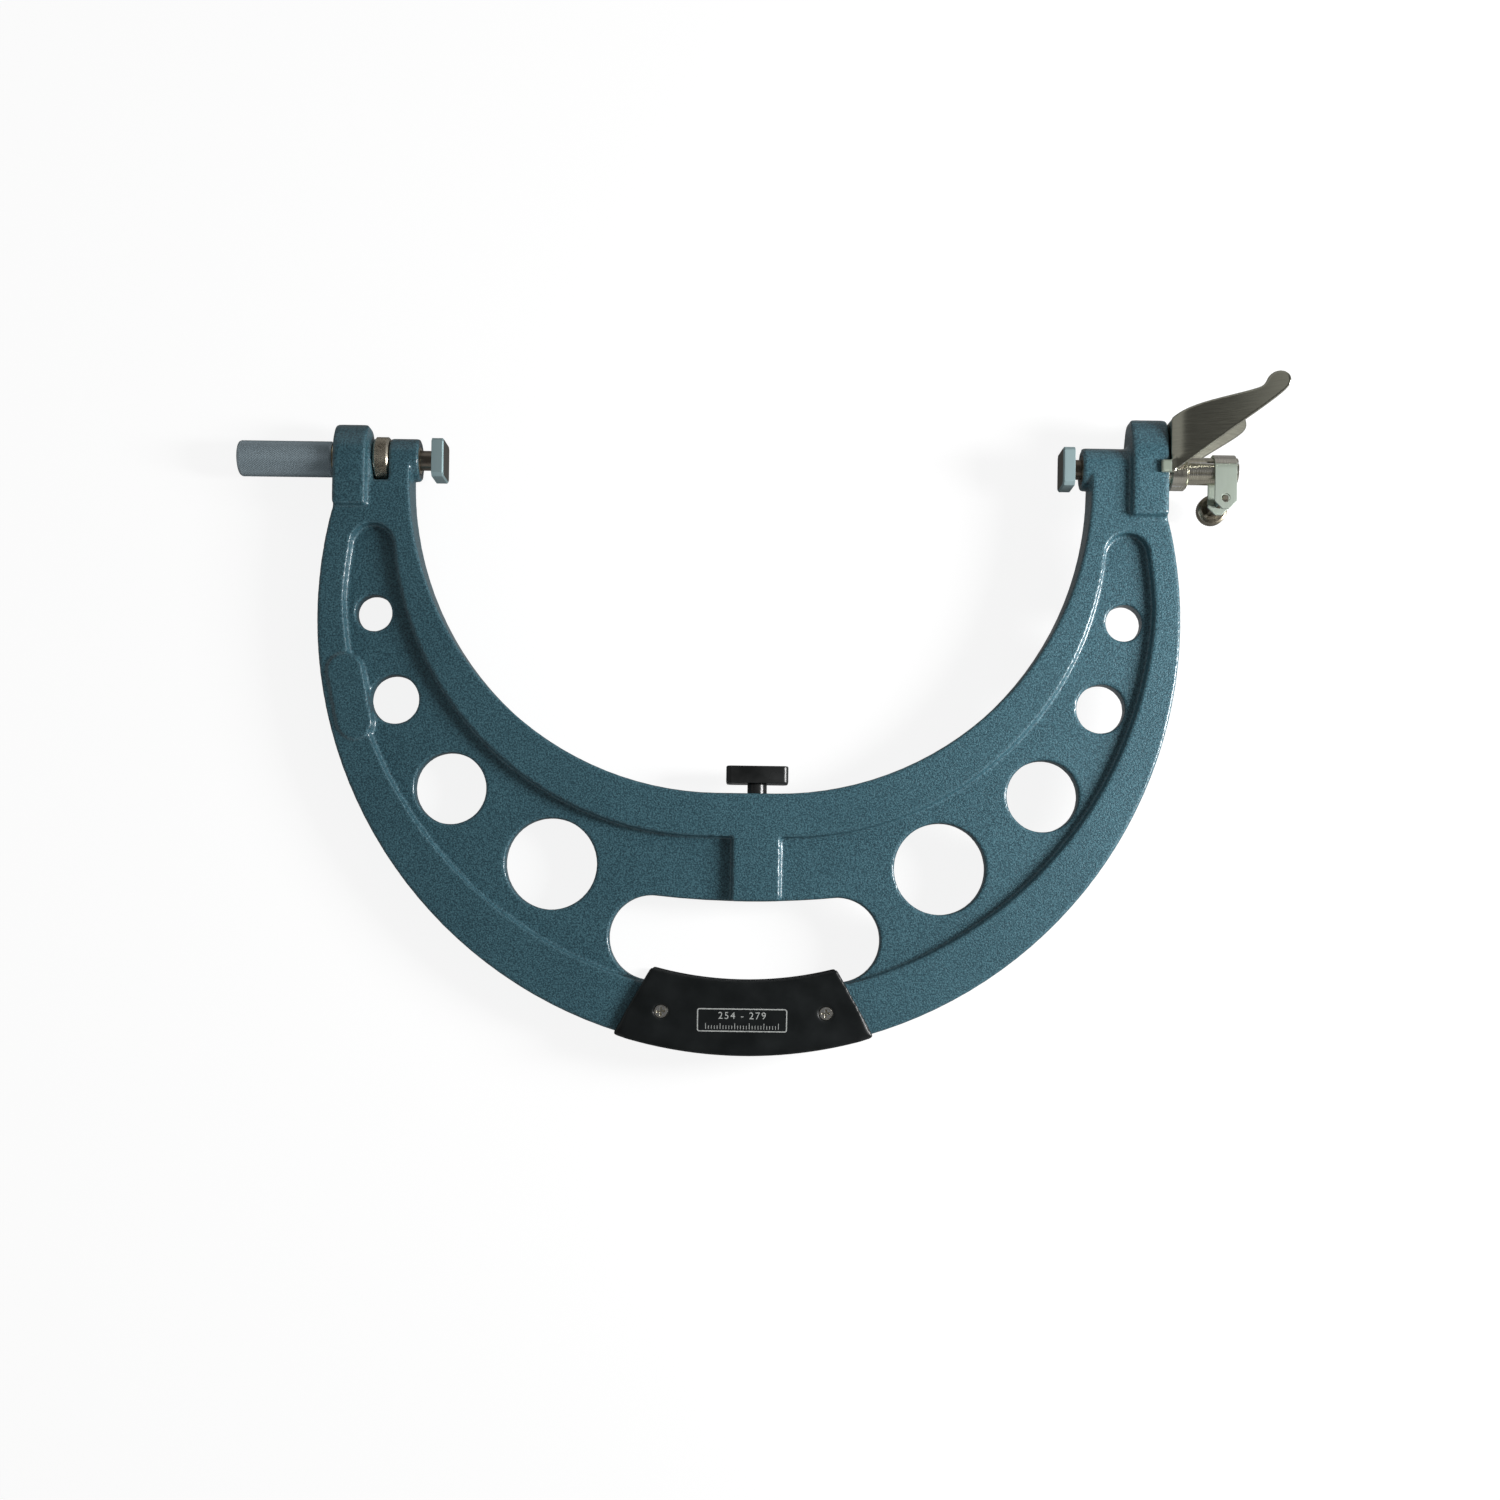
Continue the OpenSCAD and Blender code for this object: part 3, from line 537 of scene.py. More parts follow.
def points_of(mesh: Mesh) -> np.ndarray:
    """Returns a mesh's points as rows of x, y and z."""
    flat = np.empty(3 * len(mesh.vertices))
    mesh.vertices.foreach_get("co", flat)
    return flat.reshape(-1, 3)


def relax(mesh: Mesh, rounds: int, share: np.ndarray | float = 1.0) -> None:
    """Smooths a mesh by moving each point half of the way to its neighbours' mean.

    Args:
        mesh: Mesh to smooth.
        rounds: Number of passes.
        share: How much of the move each point takes, from 0 to 1.
    """
    places, count = points_of(mesh), len(mesh.vertices)
    ends = np.empty(2 * len(mesh.edges), dtype=np.int64)
    mesh.edges.foreach_get("vertices", ends)
    first, second = ends.reshape(-1, 2).T
    joined = np.maximum(np.bincount(ends, minlength=count), 1)
    step = 0.5 * np.broadcast_to(share, (count,))
    for _ in range(rounds):
        for axis in range(3):
            line = places[:, axis]
            total = np.bincount(first, line[second], count) + np.bincount(second, line[first], count)
            places[:, axis] = line + step * (total / joined - line)
    mesh.vertices.foreach_set("co", places.ravel())
    mesh.update()


def near_boxes(mesh: Mesh, boxes: Sequence[Box], fall: float) -> np.ndarray:
    """Tells how far each point of a mesh is inside any of some boxes.

    Args:
        mesh: Mesh to look at.
        boxes: Corners of each box.
        fall: Distance over which the answer falls from 1 inside a box to 0 outside.

    Returns:
        A number from 0 to 1 for each point.
    """
    places = points_of(mesh)
    inside = np.zeros(len(places))
    for low, high in boxes:
        outside = np.maximum(np.maximum(np.array(low) - places, places - np.array(high)), 0.0).max(axis=1)
        inside = np.maximum(inside, 1.0 - np.minimum(outside / fall, 1.0))
    return inside


def settle(shape: Shape, node: str, reach: float, below: float = 1.0) -> None:
    """Puts points that lie close to a solid's smooth faces back on them, and leaves the rounded edges.

    Args:
        shape: Softened copy of the node.
        node: Name of the node.
        reach: How far from the solid a point may be.
        below: Points above this y are left.
    """
    solid = bare_mesh(node)
    tree = BVHTree.FromBMesh(solid)
    solid.free()
    shape.normal_update()
    for point in shape.verts:
        place, normal, _, _ = tree.find_nearest(point.co, reach)
        if place is None or point.co.y > below:
            continue
        agreed = (normal.dot(point.normal) - ALIKE) / (SAME - ALIKE)
        point.co = point.co.lerp(place, min(max(agreed, 0.0), 1.0))


@dataclass(frozen=True)
class Soft:
    """How a cast, moulded or pressed form is rounded.

    Attributes:
        voxel: Size of the mesh's cells in metres.
        rounds: Smoothing passes everywhere.
        boxes: Places that are rounded more.
        more: Smoothing passes in those places.
        triangles: Most triangles that are kept.
    """

    voxel: float
    rounds: int
    boxes: tuple[Box, ...] = ()
    more: int = 0
    triangles: int = 190000

    def shape(self, node: str, form: Callable[[np.ndarray], None] | None = None) -> Shape:
        """Copies a node with soft edges and fillets.

        Args:
            node: Name of the node.
            form: Moves the points before they are smoothed.

        Returns:
            The softened shape.
        """
        shape = bare_mesh(node)
        mesh = bpy.data.meshes.new("soft")
        shape.to_mesh(mesh)
        shape.free()
        mesh.transform(ASKEW)
        mesh = self.evaluated(mesh, "REMESH", mode="VOXEL", voxel_size=self.voxel)
        mesh.transform(ASKEW.inverted())
        if form:
            places = points_of(mesh)
            form(places)
            mesh.vertices.foreach_set("co", places.ravel())
        relax(mesh, self.rounds)
        if self.more:
            relax(mesh, self.more, near_boxes(mesh, self.boxes, BLEND_CELLS * self.voxel))
        total = sum(len(face.vertices) - 2 for face in mesh.polygons)
        if total > self.triangles:
            mesh = self.evaluated(mesh, "DECIMATE", ratio=self.triangles / total)
        soft = bmesh.new()
        soft.from_mesh(mesh)
        bpy.data.meshes.remove(mesh)
        return soft

    @staticmethod
    def evaluated(mesh: Mesh, kind: str, **settings: object) -> Mesh:
        """Applies one modifier to a mesh and takes the old mesh away.

        Args:
            mesh: Mesh to change, which is used up.
            kind: Type of the modifier.
            settings: The modifier's settings.

        Returns:
            The changed mesh.
        """
        holder = bpy.data.objects.new("soft", mesh)
        bpy.context.scene.collection.objects.link(holder)
        modifier = holder.modifiers.new("soft", kind)
        for name, value in settings.items():
            setattr(modifier, name, value)
        made = bpy.data.meshes.new_from_object(holder.evaluated_get(bpy.context.evaluated_depsgraph_get()))
        bpy.data.objects.remove(holder)
        bpy.data.meshes.remove(mesh)
        return made


def piece(name: str, shape: Shape, nodes: Sequence[str], finish: Material, crease: float = 40.0,
          body: str | None = None) -> bpy.types.Object:
    """Makes a shape into a piece that rides on its body and stands for its nodes.

    Args:
        name: Name of the piece.
        shape: The shape, which is used up.
        nodes: Nodes that the piece stands for.
        finish: Material of the piece.
        crease: Edges that turn more than this many degrees stay sharp.
        body: Body to ride on, where no node gives it.

    Returns:
        The new object.
    """
    for face in shape.faces:
        face.smooth = True
    mesh = bpy.data.meshes.new(name)
    shape.to_mesh(mesh)
    shape.free()
    mesh.set_sharp_from_angle(angle=math.radians(crease))
    mesh.materials.append(finish)
    made = bpy.data.objects.new(name, mesh)
    bpy.context.scene.collection.objects.link(made)
    weighted = made.modifiers.new("flat faces stay flat", "WEIGHTED_NORMAL")
    weighted.keep_sharp = True
    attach(made, body or body_of(nodes[0]))
    if nodes:
        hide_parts(*nodes)
    log.info("piece %s: %d faces", name, len(mesh.polygons))
    return made


def fitting(name: str, node: str, width: float, finish: Material, segments: int = 2) -> None:
    """Makes a piece that is a node with its sharp edges rounded.

    Args:
        name: Name of the piece.
        node: Node that it copies and stands for.
        width: Width of the rounding in metres.
        finish: Material of the piece.
        segments: Number of facets in the rounding.
    """
    piece(name, rounded(node, width, segments), [node], finish)


def dress_node(node: str, finish: Material) -> None:
    """Gives a node that keeps its own shape a finish.

    Args:
        node: Name of the node.
        finish: Its material.
    """
    materials = frame["nodes"][node].data.materials
    materials.clear()
    materials.append(finish)
    log.info("node %s: %s", node, finish.name)


@dataclass
class Turning:
    """A turned shape made of rings along an axis, some of them knurled.

    Attributes:
        columns: Number of points around, even where there is a knurl.
        rows: Height, radius and knurl depth of each ring.
    """

    columns: int
    rows: list[tuple[float, float, float]] = field(default_factory=list)

    def rings(self, *profile: tuple[float, float]) -> None:
        """Adds plain rings, each given by its height and radius."""
        self.rows += [(height, radius, 0.0) for height, radius in profile]

    def knurl(self, start: float, end: float, radius: float, depth: float, slant: float = 1.25) -> None:
        """Adds a band of diamond knurl.

        Args:
            start: Height where the band starts.
            end: Height where it ends.
            radius: Radius over the diamonds' points.
            depth: Depth of the grooves.
            slant: Length of a diamond over its width.
        """
        step = 2 * math.pi * radius / self.columns * slant
        count = max(2, round(abs(end - start) / step))
        self.rows += [(start + (end - start) * row / count, radius, depth) for row in range(count + 1)]

    def shape(self, place: Matrix, closed: bool = False) -> Shape:
        """Builds the rings and the faces between them.

        Args:
            place: Where the turning's Z axis and origin go.
            closed: Whether the last ring joins the first, as in a nut.

        Returns:
            The turned shape.
        """
        made = bmesh.new()
        count = self.columns
        turns = [2 * math.pi * i / count for i in range(count)]
        grid: list[list[ShapePoint]] = []
        for row, (height, radius, depth) in enumerate(self.rows):
            if radius == 0.0:
                grid.append([made.verts.new((0, 0, height))] * count)
                continue
            away = [radius - depth * ((i + row) % 2 == 0) for i in range(count)]
            grid.append([made.verts.new((r * math.cos(turn), r * math.sin(turn), height))
                         for r, turn in zip(away, turns)])
        for row in range(len(grid) if closed else len(grid) - 1):
            upper = (row + 1) % len(grid)
            for i in range(count):
                k = (i + 1) % count
                corners = [grid[row][i], grid[row][k], grid[upper][k], grid[upper][i]]
                if self.rows[row][2] and self.rows[upper][2]:
                    first = 0 if (i + row) % 2 == 0 else 1
                    for order in ((0, 1, 2), (0, 2, 3)):
                        made.faces.new([corners[(first + c) % 4] for c in order])
                else:
                    made.faces.new(list(dict.fromkeys(corners)))
        bmesh.ops.recalc_face_normals(made, faces=made.faces)
        made.transform(place)
        return made


# Sub-assemblies


@dataclass
class CastFrame:
    """The casting: a deep C with rims, a pocketed web, round holes and two heads.

    Attributes:
        soft: How the casting is rounded, more at its two heads.
        heads: First x, last x, old top and new top of each boss.
        crest: How near a boss comes to a full round at its top.
        settle_reach: Points closer than this to the solid's faces are put on them.
        settle_top: Height under which that is done.
    """

    finishes: Finishes
    soft: Soft = Soft(0.62 * MM, 8, (((-0.190, -0.022, -0.1), (-0.171, 0.030, 0.1)),
                                     ((0.166, -0.024, -0.1), (0.190, 0.030, 0.1))), 14)
    heads: tuple[tuple[float, float, float, float], ...] = (
        (-0.188, -0.1715, 0.0123, 0.0152), (0.1699, 0.188, 0.0190, 0.0222))
    crest: float = 0.975
    settle_reach: float = 0.35 * MM
    settle_top: float = -0.028

    def build(self) -> None:
        """Builds the casting and paints it."""
        shape = self.soft.shape("frame", self.round_heads)
        settle(shape, "frame", self.settle_reach, self.settle_top)
        piece("casting", shape, ["frame"], self.finishes.paint, ALL_SMOOTH)

    def round_heads(self, places: np.ndarray) -> None:
        """Turns the square tops of the bosses into rounds about the measuring line.

        Args:
            places: Points of the casting, which are moved.
        """
        for first, last, old, new in self.heads:
            picked = (places[:, 0] > first) & (places[:, 0] < last) & (places[:, 1] > 0.0)
            rise = np.minimum(places[picked, 1] / old, 1.0)
            places[picked, 1] += (new - old) * rise**2
            places[picked, 2] *= np.sqrt(1.0 - (self.crest * rise) ** 2)


@dataclass
class Label:
    """The marking on the front cover: a border, the range and a row of graduation ticks.

    Attributes:
        centre: Middle of the label.
        size: Width and height of its border.
        line: Width of the border's line.
        corner: Radius of the border's corners.
        corner_steps: Facets in a corner.
        text: The range.
        text_size: Height of the type.
        text_rise: Height of the type's foot over the middle.
        spacing: Distance between the signs, over their usual one.
        ticks: Number of ticks.
        pitch: Distance between ticks.
        tick_foot: Depth of the ticks' feet under the middle.
        tick_line: Width of a tick.
        tall: Height of every fifth tick.
        short: Height of the others.
        sunk: How deep the ink reaches into the cover.
        proud: How far it stands above it.
    """

    finishes: Finishes
    centre: tuple[float, float] = (-0.5 * MM, -250.6 * MM)
    size: tuple[float, float] = (40.2 * MM, 10.4 * MM)
    line: float = 0.5 * MM
    corner: float = 1.1 * MM
    corner_steps: int = 6
    text: str = "254 - 279"
    text_size: float = 4.4 * MM
    text_rise: float = 0.55 * MM
    spacing: float = 1.25
    ticks: int = 26
    pitch: float = 1.3 * MM
    tick_foot: float = 4.0 * MM
    tick_line: float = 0.26 * MM
    tall: float = 2.6 * MM
    short: float = 1.6 * MM
    sunk: float = 0.05 * MM
    proud: float = 0.04 * MM

    def build(self) -> None:
        """Builds the label just above the front cover."""
        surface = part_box("grip_front")[1][2]
        low, high = surface - self.sunk, surface + self.proud
        shape = bmesh.new()
        self.add_border(shape, low, high)
        self.add_ticks(shape, low, high)
        self.add_range(shape, low, high)
        bmesh.ops.recalc_face_normals(shape, faces=shape.faces)
        piece("grip_label", shape, [], self.finishes.ink, 30.0, body_of("grip_front"))

    def add_border(self, shape: Shape, low: float, high: float) -> None:
        """Adds the rounded border.

        Args:
            shape: Shape to add to.
            low: Height of the border's foot.
            high: Height of its top.
        """
        loops: list[list[ShapePoint]] = []
        for inset, height in ((0.0, low), (0.0, high), (self.line, high), (self.line, low)):
            radius = self.corner - inset
            loop: list[ShapePoint] = []
            for quarter, (sx, sy) in enumerate(((1, 1), (-1, 1), (-1, -1), (1, -1))):
                cx = self.centre[0] + sx * (self.size[0] / 2 - self.corner)
                cy = self.centre[1] + sy * (self.size[1] / 2 - self.corner)
                for step in range(self.corner_steps + 1):
                    turn = math.radians(90 * (quarter + step / self.corner_steps))
                    place = (cx + radius * math.cos(turn), cy + radius * math.sin(turn), height)
                    loop.append(shape.verts.new(place))
            loops.append(loop)
        stitch(shape, loops + loops[:1])

    def add_ticks(self, shape: Shape, low: float, high: float) -> None:
        """Adds the row of graduation ticks under the range.

        Args:
            shape: Shape to add to.
            low: Height of the ticks' feet.
            high: Height of their tops.
        """
        foot = self.centre[1] - self.tick_foot
        for index in range(self.ticks):
            x = self.centre[0] + (index - (self.ticks - 1) / 2) * self.pitch
            tall = self.tall if index % 5 == 0 else self.short
            made = bmesh.ops.create_cube(shape, size=1.0)["verts"]
            size = Matrix.Diagonal((self.tick_line, tall, high - low, 1.0))
            place = Matrix.Translation((x, foot + tall / 2, (low + high) / 2))
            bmesh.ops.transform(shape, matrix=place @ size, verts=made)

    def add_range(self, shape: Shape, low: float, high: float) -> None:
        """Adds the numbers of the range.

        Args:
            shape: Shape to add to.
            low: Height of the numbers' feet.
            high: Height of their tops.
        """
        words = bpy.data.curves.new("range", "FONT")
        words.body = self.text
        words.size = self.text_size
        words.align_x = "CENTER"
        words.space_character = self.spacing
        words.extrude = (high - low) / 2
        holder = bpy.data.objects.new("range", words)
        bpy.context.scene.collection.objects.link(holder)
        mesh = bpy.data.meshes.new_from_object(holder.evaluated_get(bpy.context.evaluated_depsgraph_get()))
        foot = (self.centre[0], self.centre[1] + self.text_rise, (low + high) / 2)
        mesh.transform(Matrix.Translation(foot))
        shape.from_mesh(mesh)
        bpy.data.objects.remove(holder)
        bpy.data.curves.remove(words)
        bpy.data.meshes.remove(mesh)


@dataclass
class Grip:
    """Two black covers on the bottom of the frame, their screws and the front label.

    Attributes:
        corner_reach: Length of each end that is rounded further.
    """

    finishes: Finishes
    corner_reach: float = 3.5 * MM

    def build(self) -> None:
        """Builds the covers, their screws and the label."""
        for side in ("front", "rear"):
            cover = f"grip_{side}"
            shape = self.soft(cover).shape(cover)
            piece(f"{cover}_cover", shape, [cover], self.finishes.grip, ALL_SMOOTH)
            fitting(f"{cover}_screw_heads", f"{cover}_screws", 0.22 * MM, self.finishes.screw)
        Label(self.finishes).build()

    def soft(self, cover: str) -> Soft:
        """Tells how a cover is rounded, most at the outer corners of its ends.

        Args:
            cover: Node of the cover.

        Returns:
            The rounding.
        """
        low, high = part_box(cover)
        ends = ((tuple(low), (low[0] + self.corner_reach, high[1], high[2])),
                ((high[0] - self.corner_reach, low[1], low[2]), tuple(high)))
        return Soft(0.6 * MM, 9, ends, 40, 90000)


@dataclass
class Anvil:
    """A square anvil and the hard plate on it, whose sides look like the anvil's.

    Attributes:
        side: Side of the gauge that it is on.
        node: Node of the anvil; its face's node has the same name with an ending.
        outward: 1 where the measuring face looks along +X, and -1 where it looks back.
        edge: Width of the chamfer round the measuring face.
        facing: Least share of X in the normal of the measuring face.
    """

    finishes: Finishes
    side: str
    node: str
    outward: int
    edge: float = 0.65 * MM
    facing: float = 0.95

    def build(self) -> None:
        """Builds the anvil and its face."""
        face = f"{self.node}_face"
        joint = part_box(face)[0 if self.outward > 0 else 1][0]
        body = rounded(self.node, 0.2 * MM, 2, joint)
        piece(f"{self.side}_anvil", body, [self.node], self.finishes.anvil)
        plate = rounded(face, 0.12 * MM, 2, joint, self.edge)
        for flat in plate.faces:
            flat.material_index = int(flat.normal.x * self.outward > self.facing)
        made = piece(f"{self.side}_hard_face", plate, [face], self.finishes.anvil)
        made.data.materials.append(self.finishes.hard)


@dataclass
class AdjustableHead:
    """The left head: the adjustable anvil with its spindle, nut, lock sleeve and fittings.

    Attributes:
        knurl_depth: Depth of the knurls.
        nut_edge: Width of the nut's chamfers.
        nut_step: How far the knurl stands over them.
        nut_bore: Radius of the nut's bore.
        nut_lead: Width of the bore's chamfers.
        sleeve_end: Length and height of the round at the sleeve's closed end.
        sleeve_flat: How far that end's flat stays inside the sleeve's radius.
        end_wall: Thickness of the closed end.
        mouth: Radius and depth of the open end, which goes over the collet.
        sleeve_bore: Radius of the bore behind it.
    """

    finishes: Finishes
    knurl_depth: float = 0.26 * MM
    nut_edge: float = 0.95 * MM
    nut_step: float = 0.2 * MM
    nut_bore: float = 4.45 * MM
    nut_lead: float = 0.3 * MM
    sleeve_end: tuple[float, float] = (1.1 * MM, 1.5 * MM)
    sleeve_flat: float = 1.7 * MM
    end_wall: float = 2.4 * MM
    mouth: tuple[float, float] = (6.05 * MM, 10 * MM)
    sleeve_bore: float = 5.2 * MM

    def build(self) -> None:
        """Builds the head's pieces."""
        finishes = self.finishes
        Anvil(finishes, "left", "adjustable_anvil", 1).build()
        fitting("left_spindle", "adjustable_spindle", 0.3 * MM, finishes.spindle)
        fitting("lock_collet_neck", "lock_collet", 0.18 * MM, finishes.brass)
        fitting("left_bush", "adjustable_guide_bush", 0.3 * MM, finishes.brass)
        dress_node("spindle_key_screw", finishes.enamel)
        self.nut()
        self.sleeve()

    def nut(self) -> None:
        """Builds the knurled adjusting nut."""
        low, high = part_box("adjusting_nut")
        left, right, radius = low[0], high[0], (high[1] - low[1]) / 2
        edge, step, bore, lead = self.nut_edge, self.nut_step, self.nut_bore, self.nut_lead
        turning = Turning(132)
        turning.rings((left, radius - edge), (left + edge - step, radius - step))
        turning.knurl(left + edge, right - edge, radius, self.knurl_depth)
        turning.rings((right - edge + step, radius - step), (right, radius - edge), (right, bore + lead),
                      (right - lead, bore), (left + lead, bore), (left, bore + lead))
        shape = turning.shape(ONTO_X, True)
        piece("adjusting_nut_knurled", shape, ["adjusting_nut"], self.finishes.nut, KNURLED)

    def sleeve(self) -> None:
        """Builds the long knurled lock sleeve, open on its right for the collet."""
        low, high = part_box("lock_sleeve")
        left, right, radius = low[0], high[0], (high[1] - low[1]) / 2
        flat, (long, tall), (mouth, deep) = radius - self.sleeve_flat, self.sleeve_end, self.mouth
        turning = Turning(96)
        turning.rings((left, 0.0), (left, flat))
        for degrees in range(18, 91, 18):
            turn = math.radians(degrees)
            turning.rings((left + long * (1 - math.cos(turn)), flat + tall * math.sin(turn)))
        turning.knurl(left + 1.5 * MM, right - 0.9 * MM, radius, self.knurl_depth)
        turning.rings((right - 0.6 * MM, radius - 0.25 * MM), (right, radius - 0.5 * MM), (right, mouth),
                      (right - deep, mouth), (right - deep, self.sleeve_bore),
                      (left + self.end_wall, self.sleeve_bore), (left + self.end_wall, 0.0))
        shape = turning.shape(ONTO_X)
        piece("lock_sleeve_knurled", shape, ["lock_sleeve"], self.finishes.sleeve, KNURLED)


@dataclass
class ClampScrew:
    """The thumbscrew of the clamp: a knurled knob, a collar and a threaded shank.

    Attributes:
        knurl_depth: Depth of the knurl.
        knob: Height of the knob.
        edge: Unit of the knob's rounded edges.
        collar: Radius of the collar.
        collar_end: Height of the collar's end over the knob.
        thread: Radius of the thread.
        groove: Radius at the bottom of the thread.
        pitch: Distance between two grooves.
        tip: Radius of the plain tip.
    """

    finishes: Finishes
    knurl_depth: float = 0.18 * MM
    knob: float = 7.0 * MM
    edge: float = 0.75 * MM
    collar: float = 3.6 * MM
    collar_end: float = 8.5 * MM
    thread: float = 1.8 * MM
    groove: float = 1.55 * MM
    pitch: float = 0.7 * MM
    tip: float = 1.25 * MM

    def build(self) -> None:
        """Builds the screw along Z."""
        low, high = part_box("clamp_screw")
        radius, back, top, edge = (high[0] - low[0]) / 2, low[2], high[2], self.edge
        front = back + self.knob
        end = front + self.collar_end
        turning = Turning(84)
        turning.rings((back, 0.0), (back, radius - 1.6 * MM), (back + 0.15 * MM, radius - 1.1 * MM),
                      (back + edge * 0.7, radius - 0.3 * MM))
        turning.knurl(back + edge, front - 2 * edge, radius, self.knurl_depth)
        turning.rings((front - 1.8 * edge, radius - 0.3 * MM), (front - 1.4 * edge, radius - 0.9 * MM),
                      (front - edge, radius - 0.9 * MM), (front - 0.7 * edge, radius - 1.3 * MM),
                      (front, radius - 1.5 * MM), (front, self.collar), (end - 0.3 * MM, self.collar),
                      (end, self.collar - 0.3 * MM), (end, self.thread))
        start = end + 0.5 * MM
        for index in range(math.ceil((top - 2.2 * MM - start) / self.pitch)):
            height = start + index * self.pitch
            turning.rings((height, self.thread), (height + self.pitch / 2, self.groove))
        turning.rings((top - 1.7 * MM, self.tip), (top - 0.3 * MM, self.tip), (top, 1.0 * MM), (top, 0.0))
        place = Matrix.Translation(((low[0] + high[0]) / 2, (low[1] + high[1]) / 2, 0.0))
        shape = turning.shape(place)
        piece("clamp_thumbscrew", shape, ["clamp_screw"], self.finishes.knob, KNURLED)


@dataclass
class RetractableHead:
    """The right head: the sprung anvil, the indicator's tube and the clamp on it.

    Attributes:
        wire: Diameter of the return spring's wire.
        turns: Number of the spring's turns.
        steps: Rings of points in a turn.
        sides: Points around the wire.
        draw: How far the anvil is drawn back. It is not used.
        strap_top: Least share of Y in the normal of the strap's polished top.
    """

    finishes: Finishes
    wire: float = 1.1 * MM
    turns: float = 4.5
    steps: int = 40
    sides: int = 12
    draw: float = 2.0 * MM
    strap_top: float = 0.3

    def build(self) -> None:
        """Builds the head's pieces."""
        finishes = self.finishes
        Anvil(finishes, "right", "retractable_anvil", -1).build()
        fitting("right_spindle", "retractable_spindle", 0.3 * MM, finishes.spindle)
        fitting("right_bush", "retractable_guide_bush", 0.3 * MM, finishes.spindle)
        fitting("indicator_tube", "stem_tube", 0.18 * MM, finishes.nickel)
        fitting("lifting_collar", "lifting_ring", 0.25 * MM, finishes.nickel)
        self.strap()
        self.spring()
        dress_node("ring_pin", finishes.spindle)
        ClampScrew(finishes).build()

    def strap(self) -> None:
        """Builds the strap, polished where it goes over the tube and satin on its lugs."""
        shape = rounded("clamp_strap", 0.2 * MM, 2)
        shape.normal_update()
        for face in shape.faces:
            face.material_index = int(face.normal.y > self.strap_top)
        made = piece("strap", shape, ["clamp_strap"], self.finishes.plate)
        made.data.materials.append(self.finishes.nickel)

    def spring(self) -> None:
        """Winds the return spring."""
        low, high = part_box("return_spring")
        radius, across = self.wire / 2, (high[1] - low[1] - self.wire) / 2
        length, count = high[0] - low[0], round(self.turns * self.steps)
        coil = bmesh.new()
        rings: list[list[ShapePoint]] = []
        for index in range(count + 1):
            turn = 2 * math.pi * self.turns * index / count
            x = low[0] + radius + (length - self.wire) * index / count
            ring: list[ShapePoint] = []
            for side in range(self.sides):
                around = 2 * math.pi * side / self.sides
                away = across + radius * math.cos(around)
                place = (x + radius * math.sin(around), away * math.cos(turn), away * math.sin(turn))
                ring.append(coil.verts.new(place))
            rings.append(ring)
        stitch(coil, rings)
        coil.faces.new(rings[0])
        coil.faces.new(rings[-1])
        bmesh.ops.recalc_face_normals(coil, faces=coil.faces)
        made = piece("spring_coil", coil, ["return_spring"], self.finishes.spring)
        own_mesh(made)


